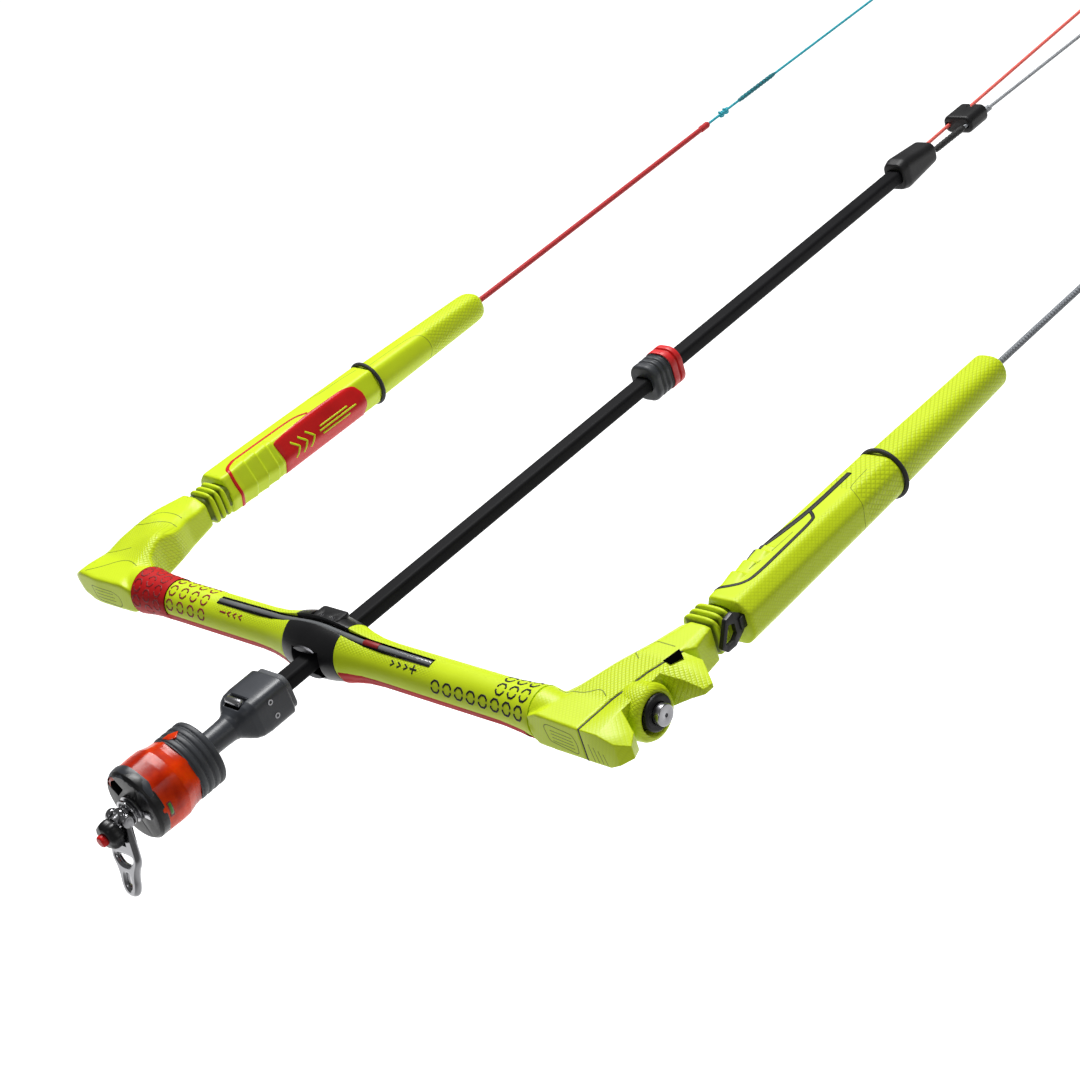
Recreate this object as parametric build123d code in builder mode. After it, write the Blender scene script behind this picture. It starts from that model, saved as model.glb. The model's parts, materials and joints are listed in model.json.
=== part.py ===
from build123d import *
import os
from math import cos, pi, radians, sin, tan

os.makedirs("parts", exist_ok=True)

# Kiteboarding control bar. Origin: middle of the bar, on the axis of the depower tube.
# +X runs along the bar to the winch end, +Y up the tube towards the kite, +Z is up.

# ---- driving dimensions, mm ----
leader_spacing = 490.0        # between the two steering leaders
float_x = leader_spacing / 2
grip_end = 192.0              # half length of the two hand grips
grip_r = 13.7
grip_end_r = 16.0
centre_r = 21.4               # belly of the black centre piece
insert_half = 25.0
core_r = 9.0
core_bore_r = 6.8
core_end = 214.0
fit = 0.05                    # clearance of parts that are glued or pushed together
run = 0.3                     # clearance of parts that slide past each other
bearing = 0.08                # clearance of shafts that turn in a hole

tube_w = 13.6                 # depower tube section, X by Z
tube_h = 10.5
tube_corner = 3.0
tube_back = -60.0
tube_front = 665.0

channel_y = -1.5              # the trim hose lies a little in front of the top of the bar
channel_half = 3.4
channel_end = 103.5
hose_r = 2.2
hose_route = ((-103, 12.1), (-38, 13.1), (0, 17.4), (38, 13.1), (103, 12.1))
sleeve_r = 2.55               # orange indicator sleeve on the hose

end_h = 13.3                  # half height of the bar ends beyond the grips
neck_x = 238.8                # the leaders leave the bar ends on this axis
neck_z = 1.2
neck_r = 13.0
neck_end = 88.0
pulley_r = 9.0
pulley_x = neck_x - pulley_r

knob_y = 24.0
knob_r = 11.2
knob_back = 250.5
knob_face = 259.3

float_start = 110.0
bungee_y = 274.0
float_tip = 404.0

housing_back = -50.0
housing_front = -81.0
housing_w = 34.0
housing_h = 28.0
stem_r = 7.8

release_back = -112.5
sleeve_split = -133.0
release_face = -161.0
plate_face = -168.0
release_r = 23.3
core_body_r = 17.0

stopper_start = 329.0
stopper_ring_start = 348.0
stopper_end = 360.0

leader_r = 2.4
pigtail_r = 1.2
front_line_r = 1.5


def node(part, name, color):
    """Label a finished piece, give it a colour and write its STEP file."""
    part.label = name
    part.color = Color(color)
    export_step(part, f"parts/{name}.step")
    check = "" if part.is_valid else "  INVALID"
    print(f"{name:22s} {len(part.solids()):2d} solids {part.volume:12.1f} mm3{check}")


def tube_outline(clearance=0.0):
    """Rounded rectangle of the depower tube, grown by a clearance."""
    RectangleRounded(tube_w + 2 * clearance, tube_h + 2 * clearance, tube_corner + clearance)


# ==== the bar: centre piece ====

# Plane.XZ looks along -Y, so a positive offset lies on the rider's side.
mouth_half_w = 13.8
mouth_half_h = 11.0
throat_half_w = 7.6
bush_r = 11.6
bush_half_h = 8.0

lip_start = 16.5
lip_long = 3.0


def lip_outline(side):
    """Crescent above (side=1) or below (side=-1) the tube, seen along the tube."""
    Polyline((-10, side * 9.6), (-6, side * 8.2), (6, side * 8.2), (10, side * 9.6))
    ThreePointArc((10, side * 9.6), (0, side * 12.0), (-10, side * 9.6))


with BuildPart() as centre_insert:
    with BuildSketch(Plane.XY):
        with BuildLine():
            Polyline((-insert_half, 0), (-insert_half, 18.4))
            ThreePointArc((-insert_half, 18.4), (0, centre_r), (insert_half, 18.4))
            Polyline((insert_half, 18.4), (insert_half, 0), (-insert_half, 0))
        make_face()
    revolve(axis=Axis.X)
    # sockets for the two core tubes
    for side in (-1, 1):
        with BuildSketch(Plane.YZ.offset(side * 21)):
            Circle(core_r + fit)
        extrude(amount=side * 10, mode=Mode.SUBTRACT)
    # trumpet mouths that let the bar tilt on the tube
    for side in (-1, 1):
        with BuildSketch(Plane.XZ):
            Rectangle(2 * throat_half_w, 2 * 5.8)
        with BuildSketch(Plane.XZ.offset(side * 23)):
            Rectangle(2 * mouth_half_w, 2 * mouth_half_h)
        loft(mode=Mode.SUBTRACT)
    # seat of the guide bush
    with BuildSketch(Plane.XY.offset(-bush_half_h - run)):
        Circle(bush_r + bearing)
    extrude(amount=2 * (bush_half_h + run), mode=Mode.SUBTRACT)
    # seats of the steel lips
    for side in (-1, 1):
        with BuildSketch(Plane.XZ.offset(lip_start)):
            with BuildLine():
                lip_outline(side)
            make_face()
        extrude(amount=lip_long, mode=Mode.SUBTRACT)
    # trough for the trim hose and a flat for the top plate
    with BuildSketch(Plane.XY.offset(12.2)):
        with Locations((0, channel_y)):
            Rectangle(3 * insert_half, 2 * channel_half + 2 * fit)
    extrude(amount=20, mode=Mode.SUBTRACT)
    with BuildSketch(Plane.XY.offset(17.2)):
        with Locations((2, 9)):
            Rectangle(26, 13)
    extrude(amount=20, mode=Mode.SUBTRACT)
node(centre_insert.part, "centre_insert", "gray20")

screw_xs = (-3.0, 8.0)
plate_y = 5.4
with BuildPart() as insert_top_plate:
    with BuildSketch(Plane.XY.offset(17.2)):
        with Locations((2, 8.6)):
            RectangleRounded(25, 12, 3)
    extrude(amount=2.6)
    chamfer(insert_top_plate.faces().sort_by(Axis.Z)[-1].edges(), 0.8)
    with BuildSketch(Plane.XY.offset(18.8)):
        with Locations(*[(x, plate_y) for x in screw_xs]):
            Circle(1.6)
    extrude(amount=2, mode=Mode.SUBTRACT)
node(insert_top_plate.part, "insert_top_plate", "gray15")

with BuildPart() as insert_screws:
    with BuildSketch(Plane.XY.offset(18.8)):
        with Locations(*[(x, plate_y) for x in screw_xs]):
            Circle(1.5)
    extrude(amount=0.8)
    with BuildSketch(Plane.XY.offset(19.2)):
        with Locations(*[(x, plate_y) for x in screw_xs]):
            RegularPolygon(0.8, 6)
    extrude(amount=1, mode=Mode.SUBTRACT)
node(insert_screws.part, "insert_screws", "gray80")

# Steel wear lips round the rider's mouth of the opening, above and below the tube.
with BuildPart() as fairlead_lips:
    for side in (-1, 1):
        with BuildSketch(Plane.XZ.offset(lip_start)):
            with BuildLine():
                lip_outline(side)
            make_face()
        extrude(amount=lip_long)
node(fairlead_lips.part, "fairlead_lips", "gray75")

with BuildPart() as fairlead_bush:
    with BuildSketch(Plane.XY.offset(-bush_half_h)):
        Circle(bush_r)
    extrude(amount=2 * bush_half_h)
    with BuildSketch(Plane.XZ.offset(-20)):
        tube_outline(run)
    extrude(amount=40, mode=Mode.SUBTRACT)
node(fairlead_bush.part, "fairlead_bush", "gray60")

# ==== the bar: core, grips and trim hose ====

with BuildPart() as core_tubes:
    for side in (-1, 1):
        with BuildSketch(Plane.YZ.offset(side * 21.2)):
            Circle(core_r)
            Circle(core_bore_r, mode=Mode.SUBTRACT)
        extrude(amount=side * (core_end - 21.2))
node(core_tubes.part, "core_tubes", "gray30")


def grip_profile(grow=0.0):
    """Points (distance from the middle, radius) of a grip's outer line, grown outward."""
    outer = ((insert_half + 0.1, 18.3), (33, 16.4), (45, 14.5), (60, grip_r), (165, grip_r),
             (180, 14.7), (grip_end, grip_end_r))
    return [(x, r + grow) for x, r in outer]


def grip_sleeve(side, x_from, x_to, inner_grow, outer_grow):
    """Closed outline between two grown copies of the grip's outer line, on one side."""
    lower = clip_profile(grip_profile(inner_grow), x_from, x_to)
    upper = clip_profile(grip_profile(outer_grow), x_from, x_to)
    ring = [(side * x, r) for x, r in lower + upper[::-1]]
    Polyline(*ring, ring[0])


def clip_profile(points, x_from, x_to):
    """The stretch of a profile between two distances from the middle."""
    inside = [p for p in points if x_from < p[0] < x_to]
    return [(x_from, radius_at(points, x_from))] + inside + [(x_to, radius_at(points, x_to))]


def radius_at(points, x):
    """Radius of a profile at a distance from the middle."""
    for (x0, r0), (x1, r1) in zip(points, points[1:]):
        if x0 <= x <= x1:
            return r0 + (r1 - r0) * (x - x0) / (x1 - x0)
    return points[0][1] if x < points[0][0] else points[-1][1]


band_start = 157.0            # the red collar covers the outer end of the left grip
strip_thick = 0.7
band_thick = 0.8

for side, name in ((-1, "grip_left"), (1, "grip_right")):
    with BuildPart() as grip:
        with BuildSketch(Plane.XY):
            with BuildLine():
                points = [(side * x, r) for x, r in grip_profile()]
                Polyline((side * (insert_half + 0.1), 0), *points, (side * grip_end, 0),
                         (side * (insert_half + 0.1), 0))
            make_face()
        revolve(axis=Axis.X)
        with BuildSketch(Plane.YZ.offset(side * 20)):
            Circle(core_r + fit)
        extrude(amount=side * 190, mode=Mode.SUBTRACT)
        with BuildSketch(Plane.XY.offset(core_r + 0.1)):
            with Locations((side * channel_end / 2, channel_y)):
                Rectangle(channel_end + 0.2, 2 * channel_half + 2 * fit)
        extrude(amount=20, mode=Mode.SUBTRACT)
    node(grip.part, name, "greenyellow")

with BuildPart() as grip_band_left:
    with BuildSketch(Plane.XY):
        with BuildLine():
            grip_sleeve(-1, band_start, grip_end, 0.0, band_thick)
        make_face()
    revolve(axis=Axis.X)
node(grip_band_left.part, "grip_band_left", "red")

# Red rubber along the underside of both grips: a layer on the lower third.
strip_arc = 120.0
with BuildPart() as under_strips:
    for side, x_to in ((-1, band_start - 0.1), (1, grip_end - 2.0)):
        with BuildSketch(Plane.XZ):
            with BuildLine():
                grip_sleeve(side, insert_half + 0.5, x_to, 0.0, strip_thick)
            make_face()
        revolve(axis=Axis.X, revolution_arc=strip_arc)
rest_turn = 180 - strip_arc / 2
strips = under_strips.part.rotate(Axis.X, rest_turn)
node(strips, "under_strips", "red")


def hose_path(y):
    """Centre line of the trim hose over the middle of the bar."""
    points = [(x, y, z) for x, z in hose_route]
    return FilletPolyline(*points, radius=[60, 110, 60])


trough_r = sleeve_r + 0.2

with BuildPart() as trim_channel:
    with BuildSketch(Plane.XZ.offset(-channel_y)):
        with BuildLine():
            top = [(x, z + 1.4) for x, z in hose_route]
            Polyline((-channel_end, core_r + 0.15), (-channel_end, top[0][1]), *top[1:-1],
                     (channel_end, top[-1][1]), (channel_end, core_r + 0.15),
                     (31, core_r + 0.15), (25.3, 12.3), (-25.3, 12.3), (-31, core_r + 0.15),
                     (-channel_end, core_r + 0.15))
        make_face()
    extrude(amount=channel_half, both=True)
    # open trough above the hose's centre line, then its round bottom
    with BuildSketch(Plane.XZ.offset(-channel_y)):
        with BuildLine():
            low = [(x * 0.995, z) for x, z in hose_route]
            Polyline(*low, (channel_end - 0.5, 30), (-channel_end + 0.5, 30), low[0])
        make_face()
    extrude(amount=trough_r, both=True, mode=Mode.SUBTRACT)
    with BuildLine(Plane.XY):
        trough = hose_path(channel_y)
    with BuildSketch(Plane(origin=trough @ 0, z_dir=trough % 0)):
        Circle(hose_r + fit)
    sweep(path=trough, mode=Mode.SUBTRACT)
    right_end = Vector(hose_route[4][0], channel_y, hose_route[4][1])
    right_knee = Vector(hose_route[3][0], channel_y, hose_route[3][1])
    slope = (right_end - right_knee).normalized()
    with BuildSketch(Plane(origin=right_knee + slope * 3, z_dir=slope)):
        Circle(trough_r)
    extrude(amount=60, mode=Mode.SUBTRACT)
node(trim_channel.part, "trim_channel", "gray10")

with BuildPart() as trim_hose:
    with BuildLine(Plane.XY):
        run_line = hose_path(channel_y)
    with BuildSketch(Plane(origin=run_line @ 0, z_dir=run_line % 0)):
        Circle(hose_r)
    sweep(path=run_line)
node(trim_hose.part, "trim_hose", "gray50")

indicator_at = 4.5            # distance of the sleeve from the knee of the hose at rest
indicator_long = 14.0
with BuildPart() as trim_indicator:
    with BuildSketch(Plane(origin=right_knee + slope * indicator_at, z_dir=slope)):
        Circle(sleeve_r)
        Circle(hose_r + fit, mode=Mode.SUBTRACT)
    extrude(amount=indicator_long)
node(trim_indicator.part, "trim_indicator", "orangered")
print("indicator slides along", slope)

# ==== bar ends ====

# Outlines are (distance from the middle, y), run from the rider's side of the grip joint.
joint = grip_end + 0.3
inner_elbow = [(251.4, neck_end), (227.5, neck_end), (222.5, 64), (214.5, 47), (212, 31),
               (207.5, 19), (199, 13.5), (joint, 13.5)]
left_outline = [(joint, -15), (204, -16), (232, -17), (256, -14.5), (268, -10), (271.5, -7),
                (268, 10), (263, 22), (264.5, 43), (260, 61)] + inner_elbow
seam = [(236.0, -17.3), (237.6, 12.0), (242.0, 39.5), (249.0, 63.0)]
seam_gap = 1.2                # thickness of the black gasket
right_outline = [(joint, -15), (204, -16)] + seam + [(254, 70)] + inner_elbow
left_pocket = [(215.2, -12), (232, -13.5), (247, -12), (248, 40), (240, 52), (230, 52), (216, 32)]
winch_pocket = [(216.2, 11.5), (216.2, 36), (224, 48), (246, 50), (240, 11.5)]
pocket_h = 11.2
# screw heads on the underside: distance from the middle, y, z of the face of the head
screw_spots = [(212, 2, -13.1), (243, 64, -12.0)]
screw_head_r = 2.9
screw_head_h = 2.0

# Flat facets of the bar ends, each given by three points (distance from the middle, y, z).
top_facet = [(210, -20, end_h), (260, -20, end_h), (235, 88, 14.0)]
bottom_facet = [(210, -20, -end_h), (260, -20, -end_h), (230, 20, -end_h)]
neck_facet = [(200, 38, -end_h), (250, 38, -end_h), (235, 88, -11.2)]
front_facet = [(200, -17, -9.5), (260, -17, -9.5), (230, -11, -end_h)]
nose_facets = {1: [(251, -17, end_h), (258, 60, end_h), (272, -7, 2.4)],
               -1: [(238, -17, -end_h), (262, 60, -end_h), (272, -7, -2.0)]}
tip_facets = {1: [(250, -25, end_h), (250, 60, end_h), (279, 0, 4.5)],
              -1: [(246, -25, -end_h), (246, 60, -end_h), (268, 0, -2.5)]}


def outline(points, side=1):
    """Closed line through points given as (distance from the middle, y), on one side."""
    ring = [(side * x, y) for x, y in points]
    Polyline(*ring, ring[0])


def shave(side, up, facet):
    """Take away everything above (up=1) or below (up=-1) a facet."""
    p, q, r = [Vector(side * x, y, z) for x, y, z in facet]
    normal = (q - p).cross(r - p)
    if normal.Z * up < 0:
        normal = -normal
    ends = (Align.CENTER, Align.CENTER, Align.MIN)
    with Locations(Plane(origin=p, x_dir=q - p, z_dir=normal)):
        Box(400, 400, 60, align=ends, mode=Mode.SUBTRACT)


def shape_end(side, up):
    """All facets of the upper or lower half of one bar end."""
    shave(side, up, top_facet if up > 0 else bottom_facet)
    shave(side, up, nose_facets[up] if side < 0 else tip_facets[up])
    if up < 0:
        shave(side, up, neck_facet)
        shave(side, up, front_facet)


def end_shell(side, up, edge, pocket):
    """Upper (up=1) or lower (up=-1) half of a bar end."""
    with BuildPart() as half:
        with BuildSketch(Plane.XY.offset(up * fit)):
            with BuildLine():
                outline(edge, side)
            make_face()
        extrude(amount=up * 18)
        shape_end(side, up)
        shave(side, up, [(207.5, 19, up * 10.5), (222.5, 64, up * 10.5), (219.5, 34, up * 14)])
        # round collar that carries the line of the grip into the bar end
        with Locations(Plane(origin=(side * joint, 0, 0), x_dir=(0, 1, 0), z_dir=(side, 0, 0))):
            Cone(grip_end_r, 13.0, 17.0, align=(Align.CENTER, Align.CENTER, Align.MIN))
        with Locations((side * 220, 0, up * fit)):
            Box(120, 260, 60, align=(Align.CENTER, Align.CENTER, Align.MAX if up > 0 else Align.MIN),
                mode=Mode.SUBTRACT)
        with BuildSketch(Plane.XY):
            with BuildLine():
                outline(pocket, side)
            make_face()
        extrude(amount=up * pocket_h, mode=Mode.SUBTRACT)
        # socket of the core tube
        with BuildSketch(Plane.YZ.offset(side * (grip_end - 1))):
            Circle(core_r + fit)
        extrude(amount=side * (core_end - grip_end + 2), mode=Mode.SUBTRACT)
        # passage of the leader along the neck
        with BuildSketch(Plane.XZ.offset(-40)):
            with Locations((side * neck_x, neck_z)):
                Circle(3.2)
        extrude(amount=-60, mode=Mode.SUBTRACT)
        if side < 0:
            boss_from = neck_z + up * 3.3
            with BuildSketch(Plane.XY.offset(boss_from)):
                with Locations((side * pulley_x, pulley_r)):
                    Circle(4.5)
            extrude(amount=up * (pocket_h + 0.2 - abs(boss_from)))
            with BuildSketch(Plane.XY):
                with Locations((side * pulley_x, pulley_r)):
                    Circle(2.0 + fit)
            extrude(amount=up * 11.6, mode=Mode.SUBTRACT)
        if up < 0:
            for x, y, z in screw_spots:
                with BuildSketch(Plane.XY.offset(-20)):
                    with Locations((side * x, y)):
                        Circle(screw_head_r + fit)
                extrude(amount=20 + z + screw_head_h + fit, mode=Mode.SUBTRACT)
    return half.part


for side, label, edge, pocket in ((-1, "left", left_outline, left_pocket),
                                  (1, "right", right_outline, winch_pocket)):
    for up, level in ((1, "upper"), (-1, "lower")):
        node(end_shell(side, up, edge, pocket), f"shell_{label}_{level}", "yellowgreen")

with BuildPart() as shell_screws:
    for side in (-1, 1):
        for x, y, z in screw_spots:
            with BuildSketch(Plane.XY.offset(z)):
                with Locations((side * x, y)):
                    Circle(screw_head_r)
                    RegularPolygon(1.5, 6, mode=Mode.SUBTRACT)
            extrude(amount=screw_head_h)
            with BuildSketch(Plane.XY.offset(z + 1.3)):
                with Locations((side * x, y)):
                    Circle(2.2)
            extrude(amount=screw_head_h - 1.3)
node(shell_screws.part, "shell_screws", "gray70")

cover_inner = [(x + seam_gap, y) for x, y in seam]
cover_outline = ([(cover_inner[0][0], -17.3), (262, -17.3), (270, -12), (265, -3),
                  (250, 6), (250, 41), (264, 45), (276, 46), (277, 53), (262, 64.5)]
                 + cover_inner[::-1][:-1])
cavity_r = 11.6
with BuildPart() as winch_cover:
    with BuildSketch(Plane.XY):
        with BuildLine():
            outline(cover_outline)
        make_face()
    extrude(amount=18, both=True)
    shape_end(1, 1)
    shape_end(1, -1)
    with BuildSketch(Plane.YZ.offset(230)):
        with Locations((knob_y, 0)):
            Circle(cavity_r)
    extrude(amount=17.4, mode=Mode.SUBTRACT)
    with BuildSketch(Plane.YZ.offset(240)):
        with Locations((knob_y, 0)):
            Circle(3.0 + bearing)
    extrude(amount=20, mode=Mode.SUBTRACT)
node(winch_cover.part, "winch_cover", "olivedrab")

with BuildPart() as cover_gasket:
    with BuildSketch(Plane.XY):
        with BuildLine():
            outline(seam + [(x + seam_gap, y) for x, y in seam[::-1]])
        make_face()
    extrude(amount=18, both=True)
    shape_end(1, 1)
    shape_end(1, -1)
    with BuildSketch(Plane.YZ.offset(230)):
        with Locations((knob_y + 3, 0)):
            Rectangle(31, 2 * pocket_h)
    extrude(amount=20, mode=Mode.SUBTRACT)
node(cover_gasket.part, "cover_gasket", "gray5")

# ==== winch ====

shaft_r = 3.0
spool_start = 217.5
spool_long = 15.0
spool_groove_r = 9.0 - 1.0    # the line's centre runs at 9 mm
wheel_start = 234.0
knob_recess = 254.0
button_r = 6.75
button_face = 264.2


def disc(radius, x_from, x_to, mode=Mode.ADD):
    """Disc on the winch axis between two stations along X."""
    ends = (Align.CENTER, Align.CENTER, Align.MIN)
    with Locations((x_from, knob_y, 0)):
        Cylinder(radius, x_to - x_from, rotation=(0, 90, 0), align=ends, mode=mode)


with BuildPart() as winch_spool:
    disc(10.8, spool_start, spool_start + 1.5)
    disc(spool_groove_r, spool_start + 1.5, spool_start + spool_long - 1.5)
    disc(10.8, spool_start + spool_long - 1.5, spool_start + spool_long)
    disc(shaft_r, 216.3, spool_start)
    disc(shaft_r, spool_start + spool_long, knob_back)
node(winch_spool.part, "winch_spool", "gray60")

ratchet_teeth = 24
with BuildPart() as ratchet_wheel:
    disc(7.9, wheel_start, wheel_start + 3.5)
    with BuildSketch(Plane.YZ.offset(wheel_start)):
        with Locations((knob_y, 0)):
            with PolarLocations(7.8, ratchet_teeth):
                Polygon((-0.9, -0.95), (1.0, -0.95), (-0.9, 0.95), align=None)
    extrude(amount=3.5)
    disc(shaft_r, wheel_start - 1, wheel_start + 5, mode=Mode.SUBTRACT)
node(ratchet_wheel.part, "ratchet_wheel", "gray45")

with BuildPart() as ratchet_pawl:
    with BuildSketch(Plane.YZ.offset(wheel_start + 0.3)):
        with BuildLine():
            Polyline((knob_y - 5, 11.1), (knob_y - 4, 9.9), (knob_y + 1, 9.2), (knob_y + 9, 10.3),
                     (knob_y + 9, 11.1), (knob_y - 5, 11.1))
        make_face()
    extrude(amount=2.9)
node(ratchet_pawl.part, "ratchet_pawl", "gray55")

knob_ribs = 28
with BuildPart() as knob_ring:
    disc(knob_r, knob_back, knob_face)
    chamfer(knob_ring.edges().group_by(Axis.X)[-1], 1.0)
    with BuildSketch(Plane.YZ.offset(knob_back)):
        with Locations((knob_y, 0)):
            with PolarLocations(knob_r, knob_ribs):
                Circle(0.45)
    extrude(amount=knob_face - knob_back - 2.0, mode=Mode.SUBTRACT)
    disc(button_r + 0.35, knob_recess, knob_face + 1, mode=Mode.SUBTRACT)
node(knob_ring.part, "knob_ring", "gray8")

button_travel = 2.6
with BuildPart() as push_button:
    disc(button_r, knob_recess + button_travel + 0.3, button_face)
    fillet(push_button.edges().group_by(Axis.X)[-1], 0.9)
    disc(1.3, button_face - 1.5, button_face + 1, mode=Mode.SUBTRACT)
node(push_button.part, "push_button", "gray80")

# ==== turning block of the left leader ====

with BuildPart() as redirect_pulley:
    with BuildSketch(Plane.XZ.offset(-pulley_r)):
        with BuildLine():
            groove = [(2.05, -2.9), (10.4, -2.9), (10.4, -2.2), (7.8, 0), (10.4, 2.2), (10.4, 2.9),
                      (2.05, 2.9), (2.05, -2.9)]
            Polyline(*[(-pulley_x + r, neck_z + z) for r, z in groove])
        make_face()
    revolve(axis=Axis((-pulley_x, pulley_r, 0), (0, 0, 1)))
node(redirect_pulley.part, "redirect_pulley", "gray50")

with BuildPart() as pulley_pin:
    with BuildSketch(Plane.XY.offset(-11.4)):
        with Locations((-pulley_x, pulley_r)):
            Circle(2.0)
    extrude(amount=22.8)
node(pulley_pin.part, "pulley_pin", "gray85")

# ==== bellows, floats, bungees, buckles ====

float_bore = 2.7
rib_pitch = 5.0
rib_long = 2.4
bellows_end = 105.6
rib_root_r = 8.4
bend = 150.0                  # y where the leader's passage reaches the float's axis
buckle_out = 9.2              # inner face of the buckle, outboard of the float's axis
buckle_t = 3.0
tongue_w = 5.0
tongue_h = 8.0
for side, label in ((-1, "left"), (1, "right")):
    with BuildPart() as bellows:
        with BuildSketch(Plane.XY.offset(neck_z)):
            with BuildLine():
                steps = [(3.2, neck_end + 0.1), (rib_root_r, neck_end + 0.1)]
                for k in range(3):
                    start = neck_end + 4.6 + k * rib_pitch
                    steps += [(rib_root_r, start), (neck_r, start + 0.5),
                              (neck_r, start + rib_long), (rib_root_r, start + rib_long + 0.4)]
                steps += [(rib_root_r, bellows_end), (3.2, bellows_end)]
                ring = [(side * (neck_x + r), y) for r, y in steps]
                Polyline(*ring, ring[0])
            make_face()
        revolve(axis=Axis((side * neck_x, 0, neck_z), (0, 1, 0)))
    node(bellows.part, f"bellows_{label}", "darkolivegreen")

    axis = Axis((side * float_x, 0, 0), (0, 1, 0))
    with BuildPart() as foam:
        with BuildSketch(Plane.XY):
            with BuildLine():
                outer = [(14.8, float_start), (16.9, float_start + 3), (17.5, 140), (16.4, 271.5),
                         (15.6, 272.3), (15.6, 275.7), (14.8, 278.0), (12.7, 394)]
                ring = [(side * (float_x + r), y) for r, y in outer]
                grommet = leader_r - fit
                bore = [(8.5, float_tip), (grommet, float_tip), (grommet, float_tip - 2),
                        (float_bore, float_tip - 2), (float_bore, bend), (0, bend),
                        (0, float_start)]
                inner = [(side * (float_x + r), y) for r, y in bore]
                Polyline(inner[-1], *ring)
                ThreePointArc(ring[-1], (side * (float_x + 11.6), 401), inner[0])
                Polyline(*inner)
            make_face()
        revolve(axis=axis)
        # the leader comes in from the neck at a slant
        mouth = Vector(side * neck_x, float_start, neck_z)
        with BuildSketch(Plane(origin=mouth, z_dir=Vector(side * float_x, bend, 0) - mouth)):
            Circle(float_bore)
        extrude(amount=46, both=True, mode=Mode.SUBTRACT)
        # pocket for the tongue of the buckle
        with BuildSketch(Plane.XZ.offset(-float_start + 1)):
            with Locations((side * (float_x + buckle_out + buckle_t / 2), side * 4.5)):
                Rectangle(tongue_w + 2 * fit, tongue_h + 2 * fit)
        extrude(amount=-8, mode=Mode.SUBTRACT)
    node(foam.part, f"float_{label}", "greenyellow")

    with BuildPart() as bungee:
        with BuildSketch(Plane.XY):
            with Locations((side * (float_x + 15.6 + 1.6), bungee_y)):
                Circle(1.6)
        revolve(axis=axis)
    node(bungee.part, f"bungee_{label}", "black")

    # D-shaped buckle beside the neck; the left one is mounted the other way up
    with BuildPart() as buckle:
        with BuildSketch(Plane.YZ.offset(side * (float_x + buckle_out))):
            with BuildLine():
                loop = [(86, -1), (90, -5.5), (98, -6), (107.5, -1), (107.5, 11), (102, 15),
                        (95, 14)]
                ring = [(y, side * z) for y, z in loop]
                Polyline(*ring, ring[0])
            make_face()
            fillet(vertices(), 2.0)
            with BuildLine():
                slot = [(90, 0), (92.5, -2), (97, -2), (101, 1), (101, 8), (96, 10)]
                hole = [(y, side * z) for y, z in slot]
                Polyline(*hole, hole[0])
            make_face(mode=Mode.SUBTRACT)
        extrude(amount=side * buckle_t)
        # tongue that anchors the buckle in the float
        with BuildSketch(Plane.XZ.offset(-105)):
            with Locations((side * (float_x + buckle_out + buckle_t / 2), side * 4.5)):
                Rectangle(tongue_w, tongue_h)
        extrude(amount=-11.5)
    node(buckle.part, f"buckle_{label}", "gray15")

# ==== depower tube, its stopper and the parts on its kite end ====

bore_r = 2.0
bore_x = 3.2                  # the two front lines run side by side inside the tube

with BuildPart() as depower_tube:
    with BuildSketch(Plane.XZ.offset(-tube_back)):
        tube_outline()
        with Locations((-bore_x, 0), (bore_x, 0)):
            Circle(bore_r, mode=Mode.SUBTRACT)
    extrude(amount=-(tube_front - tube_back))
node(depower_tube.part, "depower_tube", "gray12")

with BuildPart() as tube_core_lines:
    with BuildSketch(Plane.XZ.offset(-tube_back - 1)):
        with Locations((-bore_x, 0), (bore_x, 0)):
            Circle(front_line_r)
    extrude(amount=-(tube_front - tube_back - 2))
node(tube_core_lines.part, "tube_core_lines", "gray60")

stopper_w = 25.0
stopper_h = 29.0
with BuildPart() as stopper_body:
    with BuildSketch(Plane.XZ.offset(-stopper_start)):
        RectangleRounded(stopper_w, stopper_h, 10)
    extrude(amount=-(stopper_ring_start - stopper_start - 0.1))
    fillet(stopper_body.edges().group_by(Axis.Y)[0], 2.5)
    # three grip grooves round the body
    for k in range(3):
        with BuildSketch(Plane.XZ.offset(-stopper_start - 6 - 5 * k)):
            RectangleRounded(stopper_w + 4, stopper_h + 4, 12)
            RectangleRounded(stopper_w - 2, stopper_h - 2, 9, mode=Mode.SUBTRACT)
        extrude(amount=-2, mode=Mode.SUBTRACT)
    with BuildSketch(Plane.XZ.offset(-stopper_start + 5)):
        tube_outline(run)
    extrude(amount=-60, mode=Mode.SUBTRACT)
node(stopper_body.part, "stopper_body", "gray25")

with BuildPart() as stopper_ring:
    with BuildSketch(Plane.XZ.offset(-stopper_ring_start)):
        RectangleRounded(stopper_w + 1, stopper_h + 1, 10.5)
    extrude(amount=-(stopper_end - stopper_ring_start))
    with BuildSketch(Plane.XZ.offset(-stopper_ring_start - 5.5)):
        RectangleRounded(stopper_w + 8, stopper_h + 8, 14)
        RectangleRounded(stopper_w - 2, stopper_h - 2, 9.5, mode=Mode.SUBTRACT)
    extrude(amount=-2, mode=Mode.SUBTRACT)
    with BuildSketch(Plane.XZ.offset(-stopper_ring_start + 5)):
        tube_outline(run)
    extrude(amount=-40, mode=Mode.SUBTRACT)
node(stopper_ring.part, "stopper_ring", "red")

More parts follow.
